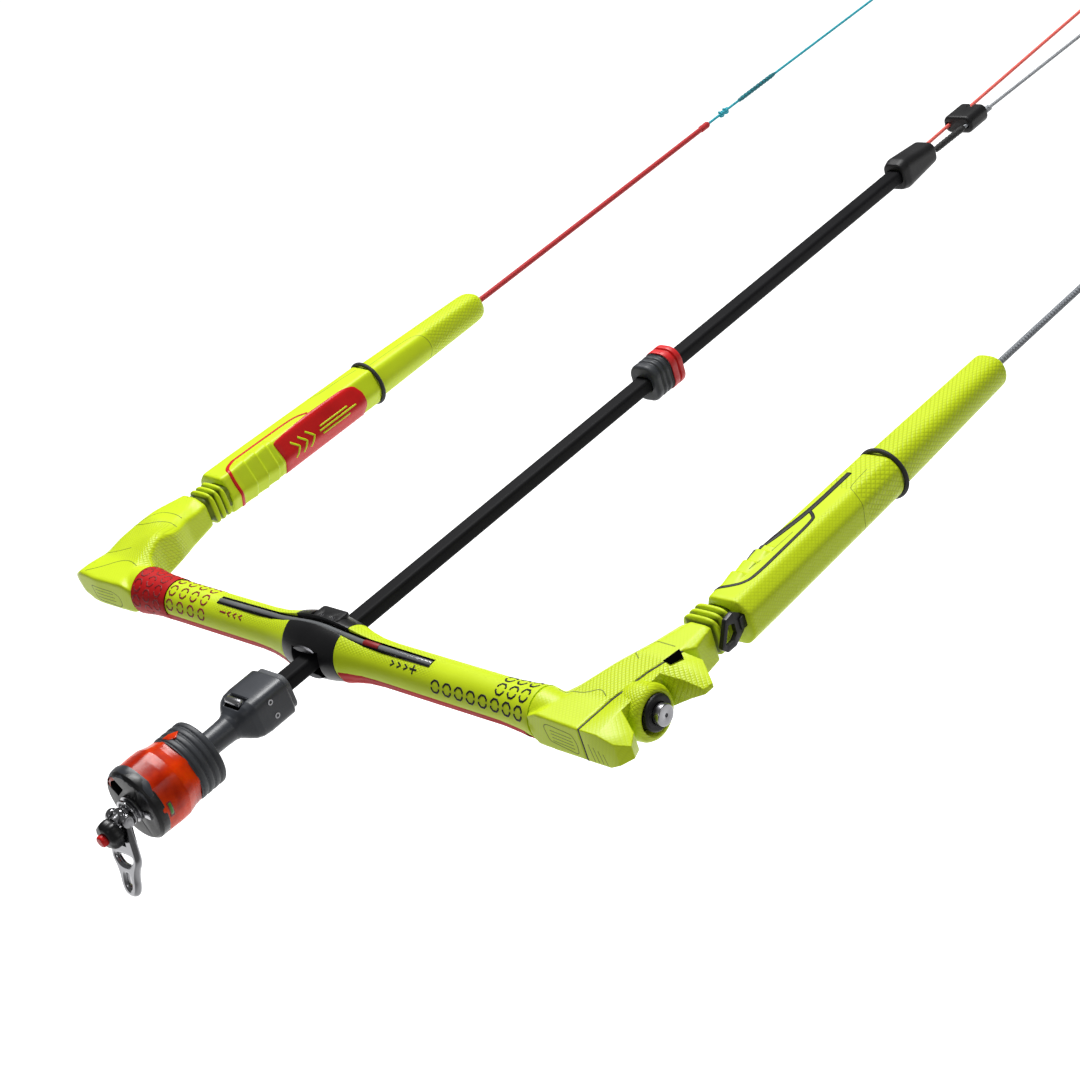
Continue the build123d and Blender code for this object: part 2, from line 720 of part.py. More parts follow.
cap_start = 660.0
cap_end = 707.0
with BuildPart() as end_cap:
    with BuildSketch(Plane.XZ.offset(-cap_start)):
        RectangleRounded(19, 22, 6)
    with BuildSketch(Plane.XZ.offset(-cap_start - 7)):
        RectangleRounded(22, 26, 7)
    with BuildSketch(Plane.XZ.offset(-cap_end)):
        RectangleRounded(22, 18, 6)
    loft(ruled=True)
    fillet(end_cap.edges().group_by(Axis.Y)[-1], 2.0)
    with BuildSketch(Plane.XZ.offset(-cap_start + 1)):
        tube_outline()
    extrude(amount=-(tube_front - cap_start + 1), mode=Mode.SUBTRACT)
node(end_cap.part, "end_cap", "gray12")

separator_start = 756.0
separator_end = 783.0
separator_line_x = 8.8
with BuildPart() as line_separator:
    with BuildSketch(Plane.XZ.offset(-separator_start)):
        RectangleRounded(27, 15, 6)
    extrude(amount=-(separator_end - separator_start))
    fillet(line_separator.edges().group_by(Axis.Y)[-1], 2.5)
    fillet(line_separator.edges().group_by(Axis.Y)[0], 2.5)
    with BuildSketch(Plane.XZ.offset(-separator_start + 5)):
        with Locations((-separator_line_x, 0), (separator_line_x, 0)):
            Circle(2.6)
    extrude(amount=-60, mode=Mode.SUBTRACT)
    # waist between the two arms
    with BuildSketch(Plane.XY.offset(-10)):
        with Locations((0, separator_end)):
            SlotOverall(18, 6, rotation=90)
    extrude(amount=20, mode=Mode.SUBTRACT)
node(line_separator.part, "line_separator", "gray12")

# ==== swivel housing ====

collar_back = -46.0
rivet_spots = [(-65.0, 7.0), (-64.0, -4.0)]
head_r = 10.0
with BuildPart() as swivel_housing:
    with BuildSketch(Plane.XZ.offset(-housing_back)):
        RectangleRounded(housing_w, housing_h, 4.6)
    extrude(amount=housing_back - housing_front)
    fillet(swivel_housing.edges().group_by(Axis.Y)[0], 3.0)
    # socket of the tube, chamber of the swivel head, hole of the stem
    with BuildSketch(Plane.XZ.offset(-housing_back - 1)):
        tube_outline()
    extrude(amount=housing_back - tube_back + 1, mode=Mode.SUBTRACT)
    with BuildSketch(Plane.XZ.offset(62)):
        Circle(head_r + run)
    extrude(amount=7, mode=Mode.SUBTRACT)
    with BuildSketch(Plane.XZ.offset(65)):
        Circle(stem_r + bearing)
    extrude(amount=20, mode=Mode.SUBTRACT)
    # window of the line roller
    with BuildSketch(Plane.YZ):
        with BuildLine():
            Polyline((-82, 10.8), (-74, 10.8), (-74, 16), (-82, 16), (-82, 10.8))
        make_face()
    extrude(amount=7, both=True, mode=Mode.SUBTRACT)
    # seats of the two rivets
    with BuildSketch(Plane.YZ.offset(housing_w / 2)):
        with Locations(*rivet_spots):
            Circle(2.0)
    extrude(amount=-1.0, mode=Mode.SUBTRACT)
node(swivel_housing.part, "swivel_housing", "gray25")

with BuildPart() as housing_collar:
    with BuildSketch(Plane.XZ.offset(-collar_back)):
        RectangleRounded(housing_w - 4, housing_h - 3, 7)
    extrude(amount=collar_back - housing_back)
    with BuildSketch(Plane.XZ.offset(-collar_back - 1)):
        tube_outline()
    extrude(amount=6, mode=Mode.SUBTRACT)
node(housing_collar.part, "housing_collar", "gray55")

with BuildPart() as housing_rivets:
    with BuildSketch(Plane.YZ.offset(housing_w / 2 - 1.0)):
        with Locations(*rivet_spots):
            Circle(1.95)
            Circle(1.0, mode=Mode.SUBTRACT)
    extrude(amount=1.3)
node(housing_rivets.part, "housing_rivets", "gray80")

roller_r = 1.9
with BuildPart() as line_roller:
    with BuildSketch(Plane.YZ.offset(-7)):
        with Locations((-77.6, 12.8)):
            Circle(roller_r)
    extrude(amount=14)
node(line_roller.part, "line_roller", "gray80")

# ==== quick release ====

with BuildPart() as swivel_stem:
    with BuildSketch(Plane.XZ.offset(62.8)):
        Circle(head_r)
    extrude(amount=5.6)
    with BuildSketch(Plane.XZ.offset(63)):
        Circle(stem_r)
    extrude(amount=-release_back - 63 + 2)
node(swivel_stem.part, "swivel_stem", "gray22")

body_back = release_back - 2.0
pin_spot = (13.0, -2.0)       # middle of the steel loop pin, X and Z
with BuildPart() as release_body:
    with BuildSketch(Plane.XZ.offset(-body_back)):
        Circle(core_body_r)
    extrude(amount=body_back - release_face - 0.1)
    with BuildSketch(Plane.XZ.offset(-body_back + 15)):
        Circle(4.0 + bearing)
    extrude(amount=60, mode=Mode.SUBTRACT)
    # chamber of the loop pin
    with BuildSketch(Plane.XZ.offset(140)):
        with Locations(pin_spot):
            Rectangle(6.5, 4.9)
    extrude(amount=30, mode=Mode.SUBTRACT)
node(release_body.part, "release_body", "gray20")

with BuildPart() as front_plate:
    with BuildSketch(Plane.XZ.offset(-release_face)):
        Circle(24.4)
    extrude(amount=release_face - plate_face)
    chamfer(front_plate.edges().group_by(Axis.Y)[0], 1.8)
    # notch where the harness loop goes in, seat of the loop pin, hole of the leash swivel
    with BuildSketch(Plane.XZ.offset(-release_face - 3.0)):
        with Locations((-12, 14)):
            Rectangle(12, 14, rotation=40)
    extrude(amount=10, mode=Mode.SUBTRACT)
    with BuildSketch(Plane.XZ.offset(-release_face - 1)):
        with Locations(pin_spot):
            Rectangle(6.5, 4.9)
    extrude(amount=20, mode=Mode.SUBTRACT)
    with BuildSketch(Plane.XZ.offset(-release_face - 1)):
        Circle(4.0 + bearing)
    extrude(amount=20, mode=Mode.SUBTRACT)
node(front_plate.part, "front_plate", "gray22")

with BuildPart() as loop_pin:
    with BuildSketch(Plane.XZ.offset(144)):
        with Locations(pin_spot):
            RectangleRounded(6.4, 4.8, 1)
    extrude(amount=-plate_face - 144 + 0.8)
node(loop_pin.part, "loop_pin", "gray80")

slide_gap = 0.35
grip_ribs = 4
with BuildPart() as sleeve_grip:
    with BuildSketch(Plane.XY):
        with BuildLine():
            steps = [(core_body_r + slide_gap, release_back), (21.0, release_back)]
            for k in range(grip_ribs):
                start = release_back - 1.0 - 4.9 * k
                steps += [(22.8, start), (22.8, start - 3.2), (21.6, start - 4.0)]
            steps += [(22.8, sleeve_split), (core_body_r + slide_gap, sleeve_split)]
            Polyline(*steps, steps[0])
        make_face()
    revolve(axis=Axis.Y)
node(sleeve_grip.part, "sleeve_grip", "gray25")

with BuildPart() as sleeve_cover:
    with BuildSketch(Plane.XY):
        with BuildLine():
            steps = [(core_body_r + slide_gap, sleeve_split - 0.05), (22.4, sleeve_split - 0.05),
                     (release_r, sleeve_split - 5), (release_r, release_face + 8),
                     (22.8, release_face + 0.4), (core_body_r + slide_gap, release_face + 0.4)]
            Polyline(*steps, steps[0])
        make_face()
    revolve(axis=Axis.Y)
    with BuildSketch(Plane.YZ.offset(18)):
        with Locations((release_face + 6, -4)):
            SlotOverall(9, 3.4)
    extrude(amount=20, mode=Mode.SUBTRACT)
node(sleeve_cover.part, "sleeve_cover", "orangered")

# ==== leash ring, shackle and its knob ====

pin_y = -178.6
twist = -4.2                  # the leash swivel is turned a little about the tube's axis, degrees
with BuildPart() as leash_rings:
    with BuildSketch(Plane.XY):
        with BuildLine():
            steps = [(0, -158), (4.0, -158), (4.0, plate_face - 0.3), (9.0, plate_face - 0.3),
                     (9.0, -170.2), (6.4, -170.8), (6.4, -171.6), (8.4, -172.2), (8.4, -173.6),
                     (5.0, -174.4), (4.0, -184.0), (0, -184.0)]
            Polyline(*steps, steps[0])
        make_face()
    revolve(axis=Axis.Y)
    # cross pin that carries the shackle
    with BuildSketch(Plane.YZ.offset(-10)):
        with Locations((pin_y, 0)):
            Circle(1.8)
    extrude(amount=20)
node(leash_rings.part.rotate(Axis.Y, twist), "leash_rings", "gray75")

lean = radians(18.0)          # the shackle hangs a little forward
shackle_t = 3.8
shackle_drop = 41.0
eye_r = 3.1
eye_outer_r = 6.6
ear_x = 5.7                   # inner faces of the two ears
ear_long = 3.9

# The shackle's own plane: X along the pin, Y up, drop counted downwards from the pin.
shackle_plane = Plane(origin=(0, pin_y, 0), x_dir=(1, 0, 0), z_dir=(0, -cos(lean), sin(lean)))
bow_outer = [(9.6, -3), (9.8, -10), (11.0, -22), (10.6, -29), (6.2, -37), (4.5, -44)]
bow_inner = [(5.7, -1), (5.9, -10), (7.1, -22), (6.8, -27), (3.4, -33)]
with BuildPart() as leash_shackle:
    with BuildSketch(shackle_plane):
        with BuildLine():
            Polyline(*bow_outer, *[(-x, y) for x, y in bow_outer[::-1]], bow_outer[0])
        make_face()
        with Locations((0, -shackle_drop)):
            Circle(eye_outer_r)
        with BuildLine():
            Polyline(*bow_inner, *[(-x, y) for x, y in bow_inner[::-1]], bow_inner[0])
        make_face(mode=Mode.SUBTRACT)
        with Locations((0, 6)):
            Rectangle(2 * ear_x, 20, mode=Mode.SUBTRACT)
    extrude(amount=shackle_t / 2, both=True)
    front_and_back = leash_shackle.faces().filter_by(Axis((0, 0, 0), shackle_plane.z_dir))
    chamfer(front_and_back.edges(), 0.9)
    with BuildSketch(shackle_plane.offset(-10)):
        with Locations((0, -shackle_drop)):
            Circle(eye_r)
    extrude(amount=20, mode=Mode.SUBTRACT)
    # ears round the ends of the cross pin
    for side in (-1, 1):
        with BuildSketch(Plane.YZ.offset(side * ear_x)):
            with Locations((pin_y, 0)):
                Circle(4.2)
        extrude(amount=side * ear_long)
    with BuildSketch(Plane.YZ.offset(-20)):
        with Locations((pin_y, 0)):
            Circle(1.85)
    extrude(amount=40, mode=Mode.SUBTRACT)
node(leash_shackle.part.rotate(Axis.Y, twist), "leash_shackle", "gray75")
eye_plane = Plane(shackle_plane.from_local_coords(Vector(0, -shackle_drop, 0)),
                  x_dir=(1, 0, 0), z_dir=shackle_plane.z_dir)
eye_turned = Pos(0, 0, 0) * Rot(0, twist, 0) * eye_plane.location
print("eye of the shackle", Plane(eye_turned).origin, Plane(eye_turned).z_dir)

screw_knob_r = 8.2
screw_knob_z = -4.5
with BuildPart() as shackle_knob:
    with BuildSketch(Plane.XZ.offset(184.2)):
        with Locations((0, screw_knob_z)):
            Circle(screw_knob_r)
            with PolarLocations(screw_knob_r, 14):
                Circle(0.8, mode=Mode.SUBTRACT)
    extrude(amount=8.8)
    with BuildSketch(Plane.XZ.offset(189.0)):
        with Locations((0, screw_knob_z)):
            Circle(4.0 + run)
    extrude(amount=10, mode=Mode.SUBTRACT)
node(shackle_knob.part, "shackle_knob", "gray8")

with BuildPart() as shackle_button:
    with BuildSketch(Plane.XZ.offset(191.6)):
        with Locations((0, screw_knob_z)):
            Circle(4.0)
    extrude(amount=5.4)
    fillet(shackle_button.edges().group_by(Axis.Y)[0], 1.6)
node(shackle_button.part, "shackle_button", "red")

# ==== lines ====

# Each route is a list of points from where the line leaves the object to its far end.
routes = {
    "leader_left": (leader_r, [(-245, 402, 0), (-245.2, 424, 0), (-256.2, 739, 0)]),
    "pigtail_left": (pigtail_r, [(-256.2, 739, 0), (-256.9, 764, 0), (-258.6, 846, 0),
                                 (-261.8, 1045, 0)]),
    "leader_right": (leader_r, [(245, 402, 0), (245.15, 420, 0), (248.4, 545, 0)]),
    "front_line_left": (front_line_r, [(-7, 706.9, 0), (-7.2, 727, 0), (-8.8, 767, 0),
                                       (-16.0, 1015, 0)]),
    "front_line_right": (front_line_r, [(7, 706.9, 0), (7.2, 727, 0), (8.8, 767, 0),
                                        (15.0, 962, 0)]),
}


def corner_radii(points):
    """Largest radius that each corner's two runs allow."""
    radii = []
    for a, b, c in zip(points, points[1:], points[2:]):
        before = Vector(*b) - Vector(*a)
        after = Vector(*c) - Vector(*b)
        turn = radians(before.get_angle(after))
        radii.append(0.45 * min(before.length, after.length) / tan(turn / 2))
    return radii


line_colors = {"leader_left": "red", "pigtail_left": "cyan", "leader_right": "gray60",
               "front_line_left": "red", "front_line_right": "gray60"}
for name, (radius, points) in routes.items():
    radii = corner_radii(points)
    with BuildPart() as line:
        with BuildLine():
            route = FilletPolyline(*points, radius=radii)
        with BuildSketch(Plane(origin=route @ 0, z_dir=route % 0)):
            Circle(radius)
        sweep(path=route)
    node(line.part, name, line_colors[name])
    ratio = line.part.volume / (pi * radius ** 2 * route.length)
    print("  length", round(route.length, 1), "volume ratio", round(ratio, 4),
          "radii", [round(r) for r in radii])
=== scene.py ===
import json
import math

import bmesh
import bpy
from mathutils import Matrix, Vector
from mathutils.bvhtree import BVHTree


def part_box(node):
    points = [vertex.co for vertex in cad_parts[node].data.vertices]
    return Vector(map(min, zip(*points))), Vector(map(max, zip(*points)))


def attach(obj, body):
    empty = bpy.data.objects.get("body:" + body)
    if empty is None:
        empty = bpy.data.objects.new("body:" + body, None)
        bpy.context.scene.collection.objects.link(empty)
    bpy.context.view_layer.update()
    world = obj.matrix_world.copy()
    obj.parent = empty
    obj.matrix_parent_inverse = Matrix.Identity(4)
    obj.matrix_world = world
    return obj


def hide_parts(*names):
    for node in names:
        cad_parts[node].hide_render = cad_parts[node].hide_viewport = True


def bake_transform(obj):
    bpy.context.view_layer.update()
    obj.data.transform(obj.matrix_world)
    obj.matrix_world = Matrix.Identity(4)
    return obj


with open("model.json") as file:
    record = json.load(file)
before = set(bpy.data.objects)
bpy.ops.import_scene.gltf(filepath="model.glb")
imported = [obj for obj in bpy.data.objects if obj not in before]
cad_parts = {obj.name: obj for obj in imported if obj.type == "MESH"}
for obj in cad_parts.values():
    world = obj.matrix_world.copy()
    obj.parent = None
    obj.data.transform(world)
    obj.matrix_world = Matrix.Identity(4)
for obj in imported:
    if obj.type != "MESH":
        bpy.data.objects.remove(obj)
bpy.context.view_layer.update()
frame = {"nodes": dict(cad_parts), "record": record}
nodes = frame["nodes"]

MM = 0.001


# ==== nodes and objects ====

def connect(tree, value, socket):
    """Link a shader value to an input, or set the input to a plain value."""
    value = getattr(value, "socket", value)
    if isinstance(value, bpy.types.NodeSocket):
        tree.links.new(value, socket)
    else:
        socket.default_value = value


def node(tree, kind, inputs, **settings):
    """Add a shader node, set its attributes and its inputs."""
    made = tree.nodes.new(kind)
    for key, value in settings.items():
        setattr(made, key, value)
    for key, value in inputs.items():
        connect(tree, value, made.inputs[key])
    return made


def new_object(name, data):
    """Object in the scene that shows some data."""
    obj = bpy.data.objects.new(name, data)
    bpy.context.scene.collection.objects.link(obj)
    return obj


# ==== materials ====

# LIME_LOW is the lime of the grooves, darkened as painted shade, and of darker random patches; LIME_HIGH is
# the lime of the pad tops, the paler patches and the bellows' ribs
LIME_LOW = (0.5, 0.63, 0.002)
LIME_HIGH = (0.66, 0.84, 0.01)
FLOAT_X = 0.245                 # distance of a float's axis from the middle, in metres
BELLOWS_X = 0.2388              # the same for the axis of the bellows, which lies a little higher
BELLOWS_Z = 0.0012
FLOAT_MEAN = 0.0165             # mean radii of a float and of the grip, in metres
GRIP_MEAN = 0.0137


class Value:
    """Number that shader nodes work out; arithmetic on it adds math nodes."""

    def __init__(self, tree, socket):
        self.tree = tree
        self.socket = socket

    def calc(self, operation, *others):
        """Math node on this value and some others."""
        inputs = dict(enumerate((self, *others)))
        made = node(self.tree, "ShaderNodeMath", inputs, operation=operation)
        return Value(self.tree, made.outputs[0])

    def __add__(self, other):
        return self.calc("ADD", other)

    def __sub__(self, other):
        return self.calc("SUBTRACT", other)

    def __mul__(self, other):
        return self.calc("MULTIPLY", other)

    def __abs__(self):
        return self.calc("ABSOLUTE")

    def fade(self, low, high):
        """0 where this value is below low, 1 where it is above high."""
        made = node(self.tree, "ShaderNodeMapRange", {"Value": self, "From Min": low,
                                                      "From Max": high})
        return Value(self.tree, made.outputs[0])

    def below(self, low, high):
        """1 where this value is below low, 0 where it is above high."""
        return self.fade(low, high) * -1.0 + 1.0


materials = {}


class Look:
    """Node material with its Principled shader; x, y and z are object coordinates in metres."""

    def __init__(self, name):
        materials[name] = bpy.data.materials.new(name)
        materials[name].use_nodes = True
        self.tree = materials[name].node_tree
        self.shader = self.tree.nodes["Principled BSDF"]
        self.coords = self.tree.nodes.new("ShaderNodeTexCoord").outputs["Object"]
        split = node(self.tree, "ShaderNodeSeparateXYZ", {0: self.coords})
        self.x, self.y, self.z = (Value(self.tree, socket) for socket in split.outputs)

    def set(self, **inputs):
        """Set or link the shader's inputs; an underscore stands for a space."""
        for key, value in inputs.items():
            connect(self.tree, value, self.shader.inputs[key.replace("_", " ")])

    def noise(self, scale, detail=3.0, coords=None):
        """Value of a noise texture."""
        made = node(self.tree, "ShaderNodeTexNoise", {"Vector": coords or self.coords,
                                                      "Scale": scale, "Detail": detail})
        return Value(self.tree, made.outputs["Fac"])

    def ramp(self, value, low, high, start=0.0, end=1.0):
        """Blend between two colours as a value goes from start to end."""
        made = node(self.tree, "ShaderNodeValToRGB", {"Fac": value})
        for element, at, color in zip(made.color_ramp.elements, (start, end), (low, high)):
            element.position = at
            element.color = (*color, 1)
        return made.outputs["Color"]

    def bump(self, height, depth):
        """Bump of a real depth in metres."""
        made = node(self.tree, "ShaderNodeBump", {"Height": height, "Distance": depth,
                                                  "Strength": 1.0})
        self.set(Normal=made.outputs["Normal"])

    def lime(self, cells, spots, rough):
        """Lime colour with painted shade: darker in the grooves between the pads than on their tops, with
        random patches of tone and of uneven roughness.
        """
        patches = self.noise(spots)
        # painted shade: the pads' height makes the grooves darker; the noise patches are random tone
        tint = cells * 0.5 + patches * 0.25
        self.set(Base_Color=self.ramp(tint, LIME_LOW, LIME_HIGH, 0.15, 0.5),
                 Roughness=patches * 0.14 + (rough - 0.07), Specular_IOR_Level=0.3)


def diamonds(u, v, pitch):
    """Height of small diamond pads between diagonal grooves; u and v are in metres."""
    k = math.pi / pitch
    stretched = v * 0.7
    a = ((u + stretched) * k).calc("SINE")
    b = ((u - stretched) * k).calc("SINE")
    return abs(a).calc("MINIMUM", abs(b)).calc("POWER", 0.7)


def plain(name, low, high, rough, depth=0.00004, coat=0.0, specular=0.5):
    """Moulded or rubber surface: slight colour mottling, roughness variation and fine grain."""
    look = Look(name)
    patches = look.noise(33.0)
    look.set(Base_Color=look.ramp(patches, low, high, 0.3, 0.7),
             Roughness=patches * 0.12 + (rough - 0.06), Coat_Weight=coat,
             Specular_IOR_Level=specular)
    look.bump(look.noise(2640.0, 2.0), depth)


def textured(name, rough, pitch, side=0):
    """Lime plastic or foam with a field of diamonds; side is 0 for the bar ends, or a float."""
    look = Look(name)
    x, y, z = look.x, look.y, look.z
    if side == 0:
        cells = diamonds(z * 0.35 + x, z * 1.1 + y, pitch)
        field = y.fade(0.006, 0.012) * y.below(0.05, 0.056) * 0.75 + 0.25
    else:
        turn = z.calc("ARCTAN2", (x - side * FLOAT_X) * side)
        tip = y.fade(0.231, 0.233)
        fine = diamonds(turn * FLOAT_MEAN, y, pitch * 0.7)
        cells = fine + (diamonds(turn * FLOAT_MEAN, y, pitch) - fine) * tip
        if side < 0:
            field = y.fade(0.336, 0.338)
        else:
            field = tip.calc("MAXIMUM", turn.below(1.22, 1.28) * 0.5)
    cells = (cells - 0.75) * field + 0.75
    look.lime(cells, 30.0, rough)
    look.bump(cells, 0.0002)


def grip_rubber():
    """Grip rubber with small dots beside the trim slot, and fine grain elsewhere."""
    look = Look("lime_grip")
    turn = look.z.calc("ARCTAN2", look.y)
    cells = diamonds(turn * GRIP_MEAN, look.x, 0.0021)
    beside = turn.fade(1.0, 1.1) * turn.below(2.25, 2.5)
    field = abs(look.x).below(0.1, 0.112) * beside
    cells = (cells - 0.7) * field + 0.7
    look.lime(cells, 34.0, 0.49)
    look.bump(look.noise(2600.0, 2.0) * 0.12 + cells, 0.00018)


def ribbed_rubber():
    """Lime rubber of the bellows, with painted shade that makes it darker down in its grooves."""
    look = Look("lime_rubber")
    out = abs(abs(look.x) - BELLOWS_X)
    far = out.calc("MAXIMUM", abs(look.z - BELLOWS_Z))
    grain = look.noise(1800.0, 2.0)
    # painted shade: near-black lime at the bottom of the grooves, full lime on the ribs
    high = (grain * 0.0006 + far).fade(0.0098, 0.0125)
    look.set(Base_Color=look.ramp(high, (0.1, 0.14, 0.003), LIME_HIGH), Roughness=0.5,
             Specular_IOR_Level=0.3)
    look.bump(grain, 0.00003)


def braid(name, low, high, pitch):
    """Braided line along Y: bright strands crossing, with painted shade on the darker gaps between them."""
    look = Look(name)
    cells = diamonds((look.x + look.z) * 1.4, look.y, pitch)
    # painted shade: the strands' height makes the gaps between them darker than their tops
    look.set(Base_Color=look.ramp(cells, low, high, 0.35, 0.6), Roughness=0.6)
    look.bump(cells, 0.00015)


def brushed(name, color, rough, axis_y=None):
    """Steel with fine lines: along Y, or in rings about an axis along X that lies at axis_y."""
    look = Look(name)
    if axis_y is None:
        stretch = node(look.tree, "ShaderNodeMapping", {"Vector": look.coords,
                                                        "Scale": (1.0, 0.08, 1.0)})
        height = look.noise(900.0, 2.0, stretch.outputs[0])
    else:
        away = look.y - axis_y
        far = (away * away + look.z * look.z).calc("SQRT")
        height = (far * 8400.0).calc("SINE")
    look.set(Base_Color=(*color, 1), Metallic=1.0,
             Roughness=look.noise(160.0) * 0.1 + (rough - 0.05))
    look.bump(height, 0.00001)


def cover_orange():
    """Glossy, slightly translucent orange-red plastic."""
    look = Look("orange_cover")
    tint = look.ramp(look.noise(55.0), (0.42, 0.014, 0.0), (0.85, 0.05, 0.0), 0.35, 0.62)
    look.set(Base_Color=tint, Roughness=0.2, Specular_IOR_Level=0.18, Subsurface_Weight=0.25,
             Subsurface_Radius=(1.0, 0.3, 0.1), Subsurface_Scale=0.006)
    look.bump(look.noise(120.0, 1.0), 0.00003)


plain("black_plastic", (0.006, 0.006, 0.007), (0.012, 0.012, 0.013), 0.35, specular=0.35)
plain("dark_plastic", (0.028, 0.031, 0.038), (0.045, 0.05, 0.06), 0.38)
plain("grey_plastic", (0.06, 0.065, 0.075), (0.1, 0.105, 0.115), 0.55, depth=0.00012)
textured("lime_shell", 0.4, 0.0026)
grip_rubber()
ribbed_rubber()
textured("lime_foam_left", 0.45, 0.0037, -1)
textured("lime_foam_right", 0.45, 0.0037, 1)
plain("lime_seam", (0.14, 0.19, 0.004), (0.2, 0.27, 0.006), 0.6)
plain("red_dark", (0.2, 0.004, 0.006), (0.3, 0.006, 0.01), 0.5)
plain("red_grip", (0.46, 0.006, 0.008), (0.62, 0.01, 0.012), 0.55, specular=0.2)
plain("red_rubber", (0.55, 0.01, 0.012), (0.72, 0.015, 0.018), 0.42)
plain("red_plastic", (0.6, 0.01, 0.01), (0.75, 0.012, 0.012), 0.35, specular=0.25)
plain("black_rubber", (0.005, 0.005, 0.006), (0.011, 0.011, 0.012), 0.5, specular=0.35)
plain("dark_rubber", (0.022, 0.025, 0.03), (0.038, 0.042, 0.05), 0.5)
plain("carbon", (0.015, 0.015, 0.015), (0.03, 0.03, 0.03), 0.3)
plain("tube_plastic", (0.005, 0.005, 0.006), (0.008, 0.008, 0.009), 0.62, depth=0.000005,
      specular=0.12)
plain("grey_hose", (0.13, 0.135, 0.14), (0.2, 0.21, 0.22), 0.16, coat=0.5)
cover_orange()
# near-black matte sheet of painted shade, for the dark of an opening and of a recess
plain("slot_black", (0.001, 0.001, 0.001), (0.002, 0.002, 0.002), 0.9, specular=0.0)
plain("indicator_green", (0.02, 0.2, 0.004), (0.03, 0.28, 0.006), 0.3)
brushed("steel", (0.36, 0.36, 0.375), 0.18)
brushed("brushed_steel", (0.38, 0.38, 0.395), 0.24)
brushed("dull_steel", (0.07, 0.07, 0.075), 0.45)
brushed("cap_steel", (0.45, 0.45, 0.47), 0.26, axis_y=0.024)
braid("black_cord", (0.006, 0.006, 0.006), (0.03, 0.03, 0.03), 0.0012)
braid("red_line", (0.36, 0.008, 0.01), (0.56, 0.018, 0.022), 0.0018)
braid("red_thin", (0.7, 0.05, 0.04), (1.0, 0.2, 0.16), 0.0016)
braid("grey_line", (0.09, 0.1, 0.11), (0.32, 0.34, 0.37), 0.0022)
braid("grey_thin", (0.12, 0.13, 0.14), (0.5, 0.52, 0.55), 0.0016)
braid("cyan_line", (0.0, 0.24, 0.32), (0.03, 0.5, 0.6), 0.0014)
braid("teal_splice", (0.005, 0.06, 0.08), (0.01, 0.25, 0.3), 0.0018)


# ==== camera, light and floor ====

def make_camera():
    """Camera at the photograph's place: 70 mm lens on a 36 mm sensor."""
    data = bpy.data.cameras.new("camera")
    data.lens = 70.0
    data.sensor_width = 36.0
    data.clip_start = 0.01
    data.clip_end = 30.0
    cam = new_object("camera", data)
    right = Vector((0.7182, 0.6378, -0.2781))
    up = Vector((-0.1667, 0.5458, 0.8211))
    back = Vector((0.6756, -0.5434, 0.4984))
    cam.rotation_mode = "QUATERNION"
    cam.rotation_quaternion = Matrix((right, up, back)).transposed().to_quaternion()
    cam.location = (0.9900, -0.6054, 0.6851)
    bpy.context.scene.camera = cam


def area_light(name, place, size, power):
    """Soft square lamp that looks at the middle of the object."""
    data = bpy.data.lights.new(name, "AREA")
    data.shape = "SQUARE"
    data.size = size
    data.energy = power
    lamp = new_object(name, data)
    lamp.location = place
    back = Vector(place) - Vector((0, 0.2, 0))
    lamp.rotation_mode = "QUATERNION"
    lamp.rotation_quaternion = (-back).to_track_quat("-Z", "Y")


def make_studio():
    """Pale floor well below the object, dim surroundings and soft lamps, mostly from above."""
    scene = bpy.context.scene
    scene.view_settings.view_transform = "Standard"
    scene.view_settings.look = "None"
    world = bpy.data.worlds.new("studio")
    world.use_nodes = True
    sky = world.node_tree.nodes["Background"]
    sky.inputs["Color"].default_value = (1.0, 1.0, 1.0, 1.0)
    sky.inputs["Strength"].default_value = 0.15
    scene.world = world
    area_light("key", (-0.7, 1.1, 2.4), 1.1, 88)
    area_light("front", (0.9, -2.0, 1.3), 0.6, 4)
    area_light("side", (2.2, 0.6, 0.9), 0.8, 4)
    bpy.ops.mesh.primitive_plane_add(size=16, location=(0, 0, -0.9))
    floor = bpy.context.object
    floor.name = "floor"
    white = Look("floor_white")
    # the floor glows less on the near side, so that it doesn't light the front faces from below
    away = white.x * -0.78 + white.y * 0.63
    white.set(Base_Color=(0.85, 0.85, 0.85, 1), Roughness=0.9, Emission_Color=(1, 1, 1, 1),
              Emission_Strength=away.fade(-0.4, 0.5) * 0.75 + 0.15)
    floor.data.materials.append(materials["floor_white"])


make_camera()
make_studio()


# ==== CAD pieces that stay, with softened edges ====

slots = {row["node"]: row["material_slot"] for row in frame["record"]["subparts"]}


def soften(obj, width):
    """Round a CAD piece's edges with modifiers, which leave its own mesh alone."""
    mesh = obj.data
    mesh.normals_split_custom_set([(0, 0, 0)] * len(mesh.loops))
    for face in mesh.polygons:
        face.use_smooth = True
    weld = obj.modifiers.new("weld", "WELD")
    weld.merge_threshold = 0.00001
    round_off = obj.modifiers.new("round", "BEVEL")
    round_off.width = width
    round_off.segments = 3
    round_off.limit_method = "ANGLE"
    round_off.angle_limit = math.radians(28)
    round_off.harden_normals = True


# CAD nodes whose look differs from their slot's own
own_looks = {"push_button": "cap_steel", "front_plate": "black_plastic",
             "trim_indicator": "red_dark", "fairlead_lips": "dull_steel"}


def finish_cad():
    """Give every CAD node its material and softened edges."""
    for name, obj in nodes.items():
        key = own_looks.get(name, slots[name])
        if key == "lime_foam":
            key += "_left" if name.endswith("left") else "_right"
        if name.startswith("front_line"):
            key = key.replace("line", "thin")
        obj.data.materials.clear()
        obj.data.materials.append(materials[key])
        low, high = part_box(name)
        soften(obj, min(0.0008, min(high - low) * 0.04))


finish_cad()


# ==== lines ====

